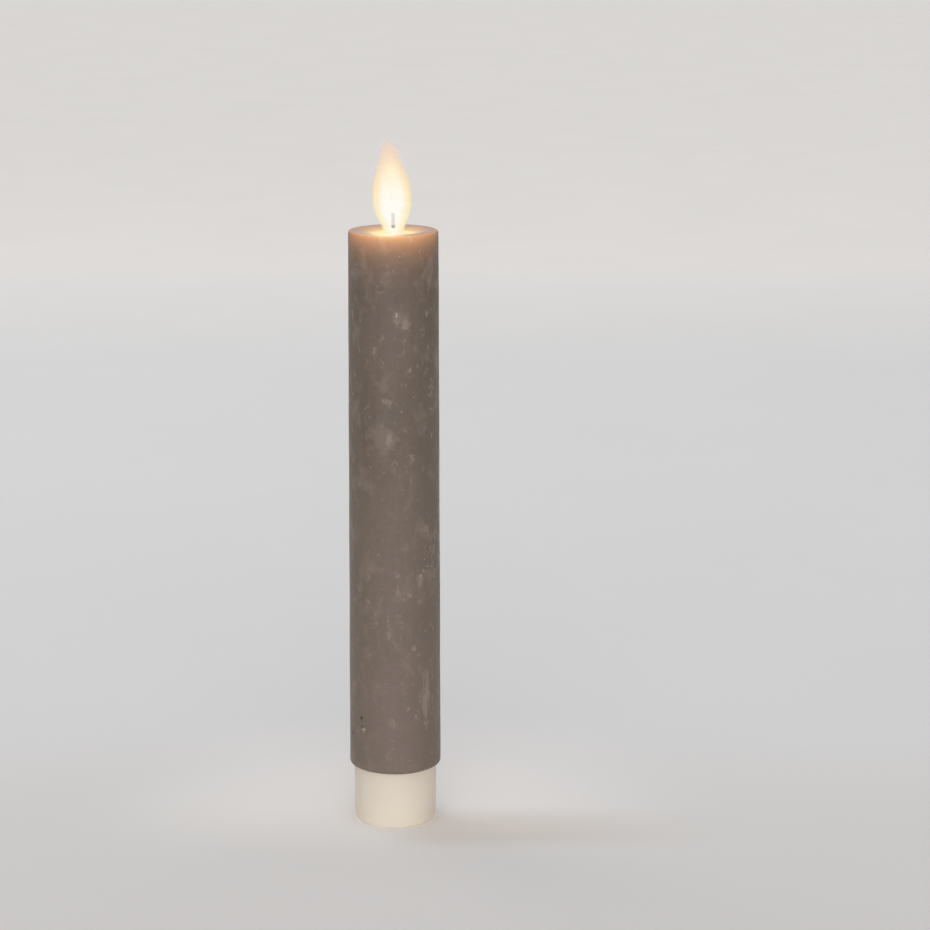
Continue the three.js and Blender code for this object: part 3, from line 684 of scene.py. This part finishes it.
def jacket_look():
    """A cell's shrunk sleeve: two plain bands with a pale ring between them, rubbed in places."""
    look = Look("cell_sleeve", colour(60, 96, 112), 0.3, Coat_Weight=0.35)
    z = look.axis(2)
    rub = look.noise(0.8, 4, 0.65, stretch=(1, 1, 0.3))
    local = look.calc("FLOORED_MODULO", look.calc("SUBTRACT", z, CELL_FOOT), CELL_PITCH)
    body = look.ramp(
        look.calc("DIVIDE", local, CELL_PITCH),
        [
            (0.0, colour(44, 58, 66)),
            (0.69, colour(52, 74, 84)),
            (0.70, colour(206, 208, 206)),
            (0.73, colour(206, 208, 206)),
            (0.74, colour(70, 116, 128)),
        ],
    )
    look.set("Base Color", look.mix(look.span(rub, 0.62, 0.75, 0, 0.5), body, colour(150, 156, 158)))
    look.set("Metallic", 0.35)
    look.set("Roughness", look.span(rub, 0.3, 0.7, 0.26, 0.4))
    look.bump(rub, 0.01)
    return look.material


WAX = wax_look()
FLAME = flame_look()
WICK = wick_look()
IVORY = ivory_look()
LIT_IVORY = warm_ivory_look()
BLACK = black_look()
NICKEL = metal_look("nickel_plate", colour(208, 204, 194), colour(176, 168, 152), 0.24)
STEEL = metal_look("zinc_steel", colour(190, 192, 194), colour(150, 152, 155), 0.3)
COPPER = copper_look()
BOARD = board_look()
CERAMIC = ceramic_look()
LENS = lens_look()
RED_LEAD = lead_look("red_lead", colour(168, 34, 30))
BLACK_LEAD = lead_look("black_lead", colour(32, 32, 34))
JACKET = jacket_look()

# ---- the wax sleeve ----

WAX_COLUMNS = 240
WALL_ROWS = 310

# Patches where the pale frost has been rubbed up: degrees to the right of the front, height,
# half width and half height in mm, and how dense the flecks are.
SCUFFS = (
    (6, 129.6, 1.5, 2.6, 1.5),
    (16, 128.8, 1.6, 2.4, 1.7),
    (-1, 132.6, 1.2, 0.8, 1.0),
    (48, 130.8, 1.5, 1.1, 1.6),
    (-62, 131.0, 0.6, 3.4, 1.2),
    (-45, 129.0, 0.5, 1.6, 1.0),
    (-8, 125.2, 3.0, 1.6, 0.9),
    (-24, 121.5, 1.0, 2.4, 0.8),
    (16, 125.0, 0.6, 0.6, 1.2),
    (50, 122.5, 0.7, 1.0, 1.3),
    (50, 119.6, 0.6, 1.4, 1.2),
    (33, 118.6, 2.2, 0.7, 1.2),
    (22, 117.6, 1.1, 0.8, 1.2),
    (47, 116.6, 0.7, 1.0, 1.2),
    (-56, 115.5, 0.5, 0.5, 1.8),
    (52, 110.8, 2.0, 1.0, 1.2),
    (36, 108.9, 1.5, 0.7, 1.2),
    (-8, 109.8, 1.8, 1.3, 1.1),
    (12, 107.4, 1.9, 1.1, 1.1),
    (-14, 103.7, 0.6, 0.6, 2.0),
    (-4, 100.4, 1.7, 1.8, 1.2),
    (16, 102.4, 0.8, 1.6, 0.8),
    (56, 100.6, 0.5, 1.4, 1.6),
    (-30, 93.5, 0.6, 0.6, 1.5),
    (40, 92.4, 1.2, 1.2, 1.1),
    (36, 65.0, 1.6, 2.6, 1.6),
    (40, 67.0, 0.6, 0.7, 2.0),
    (22, 61.2, 0.7, 0.8, 1.6),
    (34, 59.4, 1.2, 1.8, 1.5),
    (4, 66.8, 0.9, 1.0, 1.1),
    (5, 54.6, 1.1, 0.9, 1.4),
    (-5, 51.6, 0.9, 0.7, 1.3),
    (-53, 49.0, 0.9, 0.7, 1.6),
    (-33, 50.0, 0.6, 0.6, 1.2),
    (43, 51.6, 1.0, 1.2, 1.0),
    (26, 47.6, 0.8, 1.2, 1.3),
    (-44, 42.0, 1.0, 3.0, 0.7),
    (24, 38.2, 0.7, 0.5, 2.0),
    (45, 35.0, 1.6, 6.2, 0.9),
    (18, 32.0, 1.4, 1.2, 1.4),
    (28, 30.2, 0.6, 1.2, 1.3),
    (42, 27.6, 0.9, 0.9, 1.0),
    (-42, 25.6, 1.0, 1.1, 2.2),
)

# The few deep pits: degrees, height, radius and depth in mm.
DEEP_PITS = (
    (-47, 28.6, 0.55, 0.55),
    (-44, 26.4, 0.34, 0.35),
    (-67, 23.4, 0.5, 0.5),
    (17, 66.5, 0.22, 0.25),
    (-2, 48.5, 0.24, 0.25),
    (130, 84, 0.4, 0.45),
    (170, 40, 0.36, 0.4),
    (215, 118, 0.3, 0.35),
    (260, 62, 0.4, 0.45),
)
SMALL_PITS = 260

# Scraped bands: degrees, height, half width and half height in mm.
GOUGES = (
    (44, 35.0, 1.3, 6.2),
    (37, 64.6, 0.35, 1.8),
    (32, 65.2, 0.3, 1.5),
    (200, 70, 0.8, 5.0),
)
BACK_SCUFFS = 16


def noise_field(points, size_mm, stretch=(1, 1, 1), shift=0.0):
    """Smooth noise from about -1 to 1 at each point, with blotches about size_mm across."""
    scaled = points * np.array(stretch) / size_mm + shift
    return np.array([noise.noise(Vector(p)) for p in scaled])


def turned(angle, degrees):
    """Each angle less a bearing given in degrees, brought between minus and plus half a turn."""
    return (angle - math.radians(degrees) + math.pi) % TAU - math.pi


def spots(angle, z, r, marks):
    """The strongest of a set of soft round spots at each point of the wall."""
    field = np.zeros(len(angle))
    for degrees, height, half_width, half_height, strength in marks:
        d = np.hypot(turned(angle, degrees) * r / half_width, (z - height) / half_height)
        field = np.maximum(field, strength * np.clip(1 - d, 0, 1))
    return field


def wax_outline():
    """The sleeve's outline, and how much each point is roughened."""
    wall = [
        (FOOT_R - 0.3, WAX_FOOT, 0.1),
        (FOOT_R - 0.12, WAX_FOOT + 0.06, 0.15),
        (FOOT_R - 0.02, WAX_FOOT + 0.28, 0.2),
    ]
    low = WAX_FOOT + 0.6
    high = RIM - 0.75
    for t in np.linspace(0, 1, WALL_ROWS):
        z = low + (high - low) * t
        calm = min(1, (z - low) / 4 + 0.15)
        wall.append((FOOT_R + (RIM_R - FOOT_R) * t, z, calm))
    flat_out = RIM_R - 0.62
    flat_in = DISH_R + 0.2
    rim = [
        (RIM_R - 0.04, RIM - 0.45, 1.0),
        (RIM_R - 0.14, RIM - 0.2, 0.9),
        (RIM_R - 0.34, RIM - 0.05, 0.8),
        (flat_out, RIM, 0.6),
    ]
    for t in np.linspace(0.2, 1, 8):
        rim.append((flat_out + (flat_in - flat_out) * t, RIM, 0.6))
    dish = []
    for t in np.linspace(0, 1, 12):
        r = DISH_R + (MOUTH_R - DISH_R) * t
        z = RIM - 0.1 - (MOUTH_DEPTH - 0.1) * math.sin(t * math.pi / 2)
        dish.append((r, z, 0.35))
    inside = [
        (MOUTH_R, TUBE_TOP + 1.2, 0),
        (MOUTH_R, TUBE_TOP + 0.3, 0),
        (BORE_R, TUBE_TOP + 0.3, 0),
        (BORE_R, (TUBE_TOP + WAX_FOOT) / 2, 0),
        (BORE_R, WAX_FOOT, 0),
    ]
    return wall + rim + dish + inside


def wax_sleeve():
    outline = np.array(wax_outline())
    angles = np.linspace(0, TAU, WAX_COLUMNS, endpoint=False)
    r = np.repeat(outline[:, 0], WAX_COLUMNS)
    z = np.repeat(outline[:, 1], WAX_COLUMNS)
    rough = np.repeat(outline[:, 2], WAX_COLUMNS)
    turn = np.tile(angles, len(outline))
    out = np.stack([np.cos(turn), np.sin(turn), np.zeros(len(turn))], 1)
    points = out * r[:, None]
    points[:, 2] = z
    # Degrees to the right of the front, which faces -Y.
    bearing = turn + math.pi / 2

    rng = np.random.default_rng(11)
    # Bearing, height, half width, half height and strength, drawn in that order.
    limits = ((75, 285), (24, 140), (1, 2.6), (1.2, 6), (0.6, 1.2))
    back = [[rng.uniform(*pair) for pair in limits] for _ in range(BACK_SCUFFS)]
    wall = (r > FOOT_R - 0.7) & (rough > 0)
    cluster = np.clip(noise_field(points, 13, (1, 1, 0.6), 5.2) * 1.6 - 0.1, 0, 1)
    scuff = np.where(wall, np.maximum(spots(bearing, z, r, [*SCUFFS, *back]), cluster * 0.45), 0)

    pit = np.zeros(len(r))
    depth = np.zeros(len(r))
    # Bearing, height, radius and depth.
    limits = ((0, 360), (20, 147), (0.22, 0.42), (0.04, 0.14))
    small = [[rng.uniform(*pair) for pair in limits] for _ in range(SMALL_PITS)]
    for degrees, height, size, deep in [*DEEP_PITS, *small]:
        across = turned(bearing, degrees) * r
        near = np.clip(1 - (across / size) ** 2 - ((z - height) / (size * 1.15)) ** 2, 0, 1)
        near[~wall] = 0
        depth = np.maximum(depth, near * deep)
        pit = np.maximum(pit, near * min(1, deep / 0.3))

    gouge = np.zeros(len(r))
    for degrees, height, half_width, half_height in GOUGES:
        across = np.abs(turned(bearing, degrees)) * r
        ragged = 1 + 0.35 * noise_field(points, 1.2, (1, 1, 0.5), 9.7)
        taper = np.sqrt(np.clip(1 - ((z - height) / half_height) ** 4, 0, 1))
        inside = np.clip((half_width * ragged * taper - across) / 0.3, 0, 1)
        gouge = np.maximum(gouge, inside)
    gouge[~wall] = 0

    swell = noise_field(points, 16, shift=1.7) * 0.07
    streaks = noise_field(points, 1.3, (1, 1, 0.05), 3.1) * 0.022
    ripples = noise_field(points, 0.9, (0.1, 0.1, 1), 8.4) * 0.012
    crumble = noise_field(points, 0.9, shift=6.6) * (0.012 + 0.05 * np.clip(scuff, 0, 1))
    relief = (swell + streaks + ripples + crumble) * rough - depth - 0.09 * gouge
    flat_top = (r < RIM_R - 0.5) & (rough > 0) & (z > RIM - 3)
    points += out * np.where(flat_top, 0, relief)[:, None]
    points[:, 2] += np.where(flat_top, np.minimum(relief * 0.8, 0), 0)

    faces = []
    rows = len(outline)
    for i in range(rows):
        k = (i + 1) % rows
        for j in range(WAX_COLUMNS):
            n = (j + 1) % WAX_COLUMNS
            faces.append([a * WAX_COLUMNS + b for a, b in ((i, j), (i, n), (k, n), (k, j))])
    piece = mesh_piece("wax_candle", points, faces, [WAX], sharp=50)
    store(piece, {"scuff": scuff, "pit": pit, "gouge": gouge})
    stand_in(piece, "wax_sleeve", "candle_body")


# ---- the flame ----

BLADE_HALF = 0.25
HANG_HOLE_R = 0.65
WIRE_THICKNESS = 0.5
BLADE_FOOT_HALF = 2.2
# The blade's outline above its foot, as heights above the rim with its left and right edges.
BLADE_SECTIONS = (
    (-8.0, -2.25, 2.25),
    (-1.0, -2.6, 2.6),
    (1.2, -3.05, 3.05),
    (3.0, -4.05, 3.8),
    (5.4, -4.9, 4.5),
    (8.3, -5.2, 4.6),
    (12.2, -4.85, 4.0),
    (15.5, -3.95, 2.7),
    (18.3, -3.25, 1.6),
    (20.6, -2.85, 0.7),
)
BLADE_TIP_X = -1.15


def smooth_through(stations, values, wanted):
    """A smooth curve through the values at the stations, by cubic segments."""
    stations = np.array(stations, float)
    values = np.array(values, float)
    slopes = np.gradient(values, stations)
    found = np.clip(np.searchsorted(stations, wanted) - 1, 0, len(stations) - 2)
    gap = stations[found + 1] - stations[found]
    t = (wanted - stations[found]) / gap
    a = (1 + 2 * t) * (1 - t) ** 2 * values[found] + t * (1 - t) ** 2 * gap * slopes[found]
    b = t**2 * (3 - 2 * t) * values[found + 1] + t**2 * (t - 1) * gap * slopes[found + 1]
    return a + b


def flame_blade():
    """The blade as a closed sheet with a soft rounded edge."""
    rows = 90
    columns = 24
    tip = FLAME_TIP - RIM
    foot = heights("flame_blade")[0] - RIM
    stations = [foot, *[s[0] for s in BLADE_SECTIONS], tip]
    left = [-BLADE_FOOT_HALF, *[s[1] for s in BLADE_SECTIONS], BLADE_TIP_X - 0.06]
    right = [BLADE_FOOT_HALF, *[s[2] for s in BLADE_SECTIONS], BLADE_TIP_X + 0.06]
    levels = np.linspace(foot, tip, rows)
    left_edge = smooth_through(stations, left, levels)
    right_edge = smooth_through(stations, right, levels)
    verts = []
    loop = []
    # One turn round the section: across the front, round one edge, across the back, round the other.
    across = np.linspace(-1, 1, columns)
    for side, xs in ((-1, across), (1, across[::-1])):
        for u in xs:
            loop.append((u, side))
    for level, a, b in zip(levels, left_edge, right_edge):
        middle = (a + b) / 2
        half = (b - a) / 2
        for u, side in loop:
            inset = min(1, (1 - abs(u)) * half / 0.18 + 0.35)
            verts.append((middle + half * u, side * BLADE_HALF * inset, RIM + level))
    faces = []
    size = len(loop)
    for i in range(rows - 1):
        for j in range(size):
            n = (j + 1) % size
            faces.append([i * size + j, i * size + n, (i + 1) * size + n, (i + 1) * size + j])
    faces.append(list(range(size))[::-1])
    faces.append([(rows - 1) * size + j for j in range(size)])
    piece = mesh_piece("flame_sheet", verts, faces, [FLAME], sharp=60)
    # The blade hangs on the wire by this hole, with a hair of clearance above the wire.
    hole = revolve("hole", [(0, -1), (HANG_HOLE_R, -1), (HANG_HOLE_R, 1), (0, 1)], [], columns=32)
    hole_z = heights("pivot_wire")[0] + WIRE_THICKNESS + 0.1 - HANG_HOLE_R
    hole.data.transform(Matrix.Translation((0, 0, hole_z * MM)) @ Matrix.Rotation(math.pi / 2, 4, "X"))
    combine(piece, [hole], "DIFFERENCE")
    shade(piece.data, 60)
    points = np.array([vertex.co for vertex in piece.data.vertices]) / MM
    level = points[:, 2] - RIM
    a = np.interp(level, levels, left_edge)
    b = np.interp(level, levels, right_edge)
    inward = (b - a) / 2 - np.abs(points[:, 0] - (a + b) / 2)
    height = np.clip(level / tip, 0, 1)
    edge = np.minimum(1, inward / 3.2)
    rim = np.where(level < 0, 1.0, 0.0)
    store(piece, {"height": height, "edge": edge, "rim": rim})
    stand_in(piece, "flame_blade", "flame")


def wick():
    """A short braided stub that comes through the blade and stands up in front of it."""
    foot = RIM + 0.7
    anchors = [
        (0, 1.1, foot - 0.1),
        (0, 0, foot),
        (0, -0.72, foot + 0.4),
        (0, -0.98, foot + 1.5),
        (0, -0.95, foot + 3.5),
    ]
    ts = np.linspace(0, len(anchors) - 1, 60)
    path = np.stack([smooth_through(range(len(anchors)), axis, ts) for axis in zip(*anchors)], 1)

    def strands(t, a):
        fray = 1 + 0.08 * math.sin(5 * a) * max(0, t - 0.85) / 0.15
        return 0.47 * fray * (0.86 + 0.14 * abs(math.cos(1.5 * (a - 9 * t))))

    piece = sweep("wick_braid", path, strands, [WICK], sides=30)
    stand_in(piece, "wick", "flame")


# ---- the base ----


def base_shell():
    """The cream cup, with a recess, the switch's slot and its three position marks underneath."""
    flat_r = BASE_R - 0.17 - BASE_EDGE
    outline = rounded(
        [
            (0, RECESS),
            (RECESS_R - 0.18, RECESS, 0.15),
            (RECESS_R, 0, 0.12),
            (flat_r, 0),
            *[
                (flat_r + BASE_EDGE * math.sin(a), BASE_EDGE * (1 - math.cos(a)))
                for a in np.linspace(0.12, math.pi / 2, 9)
            ],
            (BASE_R, BASE_TOP, 0.25),
            (CUP_BORE_R + 0.05, BASE_TOP, 0.15),
            (CUP_BORE_R, CUP_FLOOR, 0.4),
            (0, CUP_FLOOR),
        ],
        closed=False,
    )
    piece = revolve("base_cup", outline, [IVORY], columns=160)
    slot = bevelled(block("slot", (-3.7, -1.5, -1), (3.7, 1.5, 3)), 0.35)
    mark_top = RECESS + 0.25
    ring = [(0.4, -1), (0.75, -1), (0.75, mark_top), (0.4, mark_top)]
    marks = [
        block("on_mark", (-2.2, -4.2, -1), (-1.8, -2.8, mark_top)),
        moved(revolve("off_mark", ring, [], columns=32), y=-3.5),
        block("timer_mark", (1.3, -3.7, -1), (2.7, -3.3, mark_top)),
        block("timer_hand", (1.8, -4.2, -1), (2.2, -2.8, mark_top)),
    ]
    combine(piece, [slot, *marks], "DIFFERENCE")
    stand_in(piece, "base_shell", "base")


def cap_insert():
    """The plate and collar inside the cup, with two bayonet lugs that have rounded edges."""
    top = heights("cap_insert")[1]
    band = BASE_TOP - 1.1
    band_r = CUP_BORE_R - 0.1
    plate_r = CUP_BORE_R - 0.25
    outline = rounded(
        [
            (0, PLATE_FOOT),
            (plate_r, PLATE_FOOT, 0.15),
            (plate_r, PLATE_TOP, 0.15),
            (COLLAR_R, PLATE_TOP),
            (COLLAR_R, band),
            (band_r, band, 0.15),
            (band_r, BASE_TOP, 0.2),
            (COLLAR_R, BASE_TOP, 0.08),
            (COLLAR_R, top, 0.3),
            (COLLAR_BORE_R, top, 0.25),
            (COLLAR_BORE_R, PLATE_TOP, 0.4),
            (0, PLATE_TOP),
        ],
        closed=False,
    )
    piece = revolve("insert_body", outline, [], columns=144)
    lugs = [
        bevelled(arc_block("lug", (COLLAR_R - 0.3, COLLAR_R + 0.7), (at - 12, at + 12), LUG_LEVELS), 0.22)
        for at in (90, 270)
    ]
    combine(piece, lugs, "UNION")
    low = PLATE_FOOT - 1
    high = PLATE_TOP + 1
    holes = []
    for x, y, r in ((0, SCREW_Y, 1.1), (0, -SCREW_Y, 1.1), (3.1, 0.3, 1.0)):
        hole = revolve("hole", [(0, low), (r, low), (r, high), (0, high)], [], columns=32)
        holes.append(moved(hole, x, y))
    holes.append(block("leg_groove", (7.2, -1.3, low), (8.05, 1.3, top + 1)))
    combine(piece, holes, "DIFFERENCE")
    painted(piece, IVORY)
    stand_in(piece, "cap_insert", "base")


def cap_screw(node):
    """A pan-head screw with a cross recess."""
    foot, top = heights(node)
    low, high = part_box(node)
    y = (low.y + high.y) / 2 / MM
    head = top - 1.1
    outline = rounded(
        [
            (0, foot),
            (0.7, foot + 0.8, 0.1),
            (0.7, head),
            (1.6, head, 0.1),
            (1.55, head + 0.6, 0.4),
            (0.9, top, 0.4),
            (0, top),
        ],
        closed=False,
    )
    piece = revolve(node + "_pan", outline, [], columns=64)
    arms = [
        block("arm", (-0.9, -0.2, top - 0.55), (0.9, 0.2, top + 1)),
        block("arm", (-0.2, -0.9, top - 0.55), (0.2, 0.9, top + 1)),
    ]
    combine(piece, arms, "DIFFERENCE")
    painted(moved(piece, y=y), STEEL)
    stand_in(piece, node, "base")


def negative_spring():
    """A conical spring: a closed turn at each end and a straight leg down to the switch board."""
    foot, top = heights("negative_spring")
    wire = 0.3
    wide = 3.2
    narrow = 1.7
    seat = PLATE_TOP + wire + 0.05
    crown = top - wire
    path = [(wide, -0.05, z) for z in np.linspace(foot, seat - 0.4, 4)]
    turns = 3.5
    for t in np.linspace(0.02, 1, 150):
        a = TAU * turns * t
        climb = np.clip((t * turns - 0.6) / (turns - 1.3), 0, 1)
        r = wide + (narrow - wide) * t
        path.append((r * math.cos(a), r * math.sin(a), seat + (crown - seat) * climb))
    piece = sweep("spring_coil", path, wire, [NICKEL], sides=16)
    stand_in(piece, "negative_spring", "base")


def contact_ring():
    """A stamped ring on top of the collar, with its leg going down inside."""
    foot, top = heights("contact_ring")
    under = top - 0.3
    inner = COLLAR_BORE_R + 0.1
    outer = COLLAR_R - 0.15
    outline = rounded([(inner, under, 0.08), (outer, under, 0.08), (outer, top, 0.12), (inner, top, 0.12)])
    piece = revolve("ring_stamping", outline, [], columns=144)
    leg = bevelled(block("leg", (7.62, -1.1, foot), (7.85, 1.1, top - 0.1)), 0.06)
    combine(piece, [leg], "UNION")
    painted(piece, NICKEL)
    stand_in(piece, "contact_ring", "base")


def switch_knob():
    """The slide switch's knob with three rounded grip ridges."""
    low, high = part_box("switch_slider")
    x = (low.x + high.x) / 2 / MM
    face = low.z / MM
    piece = bevelled(block("knob_body", (x - 1.5, -1.2, face + 0.25), (x + 1.5, 1.2, 1.7)), 0.18)
    stem = block("stem", (x - 0.9, -0.6, 1.2), (x + 0.9, 0.6, high.z / MM))
    ridges = [
        bevelled(block("ridge", (at - 0.2, -1.1, face), (at + 0.2, 1.1, face + 0.6)), 0.12)
        for at in (x - 0.9, x, x + 0.9)
    ]
    combine(piece, [stem, *ridges], "UNION")
    painted(piece, BLACK)
    stand_in(piece, "switch_slider", "switch_knob")


# ---- cells ----


def cell(node):
    """An AA cell: a shrunk sleeve that turns in over both ends of a plated can."""
    foot, top = heights(node)
    r = radius_of(node)
    shoulder = top - 1.45
    outline = rounded(
        [
            (0, foot + 0.05),
            (4.6, foot + 0.05, 0.2),
            (4.9, foot, 0.1),
            (5.35, foot, 0.15),
            (5.6, foot + 0.3, 0.15),
            (r - 0.9, foot + 0.3, 0.1),
            (r - 0.75, foot + 0.22, 0.1),
            (r, foot + 0.3, 0.45),
            (r, shoulder + 0.05, 0.45),
            (r - 0.9, shoulder + 0.05, 0.12),
            (r - 1.0, shoulder - 0.25, 0.12),
            (5.2, shoulder - 0.35, 0.2),
            (3.2, shoulder - 0.3, 0.3),
            (2.75, shoulder + 0.1, 0.2),
            (2.6, top, 0.3),
            (0, top),
        ],
        closed=False,
    )

    def zones(radius, z):
        return 1 if radius > r - 1.02 else 0

    piece = revolve(node + "_aa", outline, [STEEL, JACKET], columns=96, zones=zones)
    stand_in(piece, node, "cells")


# ---- finishes of the frame's own nodes ----

FINISHES = {
    "core_tube": IVORY,
    "bulkhead": IVORY,
    "positive_contact": NICKEL,
    "ground_strip": NICKEL,
    "circuit_board": BOARD,
    "driver_chip": BLACK,
    "timer_crystal": STEEL,
    "filter_capacitor": CERAMIC,
    "led_resistor": BLACK,
    "coil_resistor": BLACK,
    "housing_front": BLACK,
    "housing_rear": BLACK,
    "coil_bobbin": IVORY,
    "coil_winding": COPPER,
    "coil_lead_a": COPPER,
    "coil_lead_b": COPPER,
    "led": LENS,
    "led_holder": BLACK,
    "led_lead_a": RED_LEAD,
    "led_lead_b": BLACK_LEAD,
    "flame_seat": LIT_IVORY,
    "pivot_wire": STEEL,
    "magnet_front": NICKEL,
    "magnet_rear": NICKEL,
    "switch_board": BOARD,
    "switch_case": STEEL,
}


def finish_nodes():
    for node, material in FINISHES.items():
        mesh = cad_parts[node].data
        mesh.materials.clear()
        mesh.materials.append(material)
        shade(mesh)


# ---- studio ----


def floor_look():
    """Seamless paper, paler towards the back.

    Painted light makes it a little paler round the base, most of all where the two touch, and a painted
    shadow darkens it on one side.
    """
    look = Look("studio_paper", colour(214, 211, 207), 0.9)
    behind = look.axis(1)
    tooth = look.noise(40, 3, 0.6)
    body = look.ramp(
        look.span(behind, -100, 900, smooth=False),
        [
            (0.0, colour(207, 205, 204)),
            (0.1, colour(210, 209, 208)),
            (0.16, colour(214, 214, 215)),
            (0.43, colour(216, 217, 218)),
            (0.7, colour(217, 218, 219)),
            (1.0, colour(230, 228, 226)),
        ],
    )
    # Painted light: the paper is paler round the base, much less so in front of it.
    close = look.product(look.span(look.radius(), 10, 90, 0.75, 0), look.span(behind, -35, 10, 0.1, 1))
    body = look.mix(close, body, colour(236, 233, 231))
    # Painted shadow: a soft warm shade on the paper to the right of the base and in front of it.
    x = look.axis(0)
    beside = look.product(look.span(x, -4, 12), look.span(x, 25, 90, 1, 0))
    along = look.product(look.span(behind, 8, -8), look.span(behind, -25, -14))
    body = look.mix(look.product(beside, along), body, (0.91, 0.87, 0.84, 1), "MULTIPLY")
    look.set("Base Color", look.mix(look.span(tooth, 0.3, 0.7, 0, 0.05), body, colour(196, 194, 191)))
    look.set("Specular IOR Level", 0.1)
    # Painted light: the paper glows faintly under the edge of the base and in a narrow ring just round it.
    look.set("Emission Color", colour(226, 216, 202))
    look.set("Emission Strength", look.span(look.radius(), 9.6, 10.8, 0.28, 0))
    return look.material


def studio():
    outline = [(0, -5), (8000, -5), (8000, 0), (1500, 0), (400, 0), (0, 0)]
    floor = revolve("floor", outline, [floor_look()], columns=64)
    soft_dome()
    soft_light("rim_light", (-0.5, 0.55, 0.85), 0.45, 0.9, (1.0, 0.97, 0.94))


def soft_dome():
    """A pale room: a broad soft light overhead and another behind the viewer, dim at the sides."""
    world = bpy.data.worlds.new("studio")
    bpy.context.scene.world = world
    world.use_nodes = True
    nodes = Nodes(world.node_tree)
    way = nodes.add("ShaderNodeTexCoord").outputs["Generated"]
    split = nodes.add("ShaderNodeSeparateXYZ")
    nodes.feed(split.inputs[0], way)
    stops = ((0.0, 0.46), (0.52, 0.46), (0.57, 0.06), (0.88, 0.15), (1.0, 2.05))
    greys = [(position, (grey, grey, grey, 1)) for position, grey in stops]
    dome = nodes.ramp(nodes.span(split.outputs[2], -1, 1, smooth=False), greys)
    toward = nodes.add("ShaderNodeVectorMath", operation="DOT_PRODUCT")
    nodes.feed(toward.inputs[0], way)
    nodes.feed(toward.inputs[1], Vector((-0.02, -0.98, 0.17)).normalized())
    beam = nodes.calc("POWER", nodes.calc("MAXIMUM", toward.outputs["Value"], 0.0), 10.0)
    total = nodes.calc("ADD", dome, nodes.product(beam, 2.75))
    background = world.node_tree.nodes["Background"]
    nodes.feed(background.inputs["Color"], (1.0, 0.99, 0.985, 1))
    nodes.feed(background.inputs["Strength"], nodes.product(total, DOME_STRENGTH))


def soft_light(name, place, size, power, tint):
    data = bpy.data.lights.new(name, "AREA")
    data.size = size
    data.energy = power
    data.color = tint
    made = placed(name, data)
    made.location = place
    made.rotation_euler = (Vector((0, 0, 0.08)) - Vector(place)).to_track_quat("-Z", "Y").to_euler()
    made.visible_camera = False


def camera():
    data = bpy.data.cameras.new("camera")
    data.lens = 96.95
    data.clip_start = 0.01
    data.clip_end = 50
    made = placed("camera", data)
    made.location = (0.01746, -0.6013, 0.2349)
    made.rotation_euler = [math.radians(turn) for turn in (76.608, -0.15, 0.035)]
    bpy.context.scene.camera = made


# ---- assembly ----

camera()
studio()
wax_sleeve()
flame_blade()
wick()
base_shell()
cap_insert()
contact_ring()
negative_spring()
switch_knob()
for name in ("cap_screw_a", "cap_screw_b"):
    cap_screw(name)
for name in ("cell_lower", "cell_upper"):
    cell(name)
finish_nodes()

bpy.context.scene.view_settings.view_transform = "Standard"
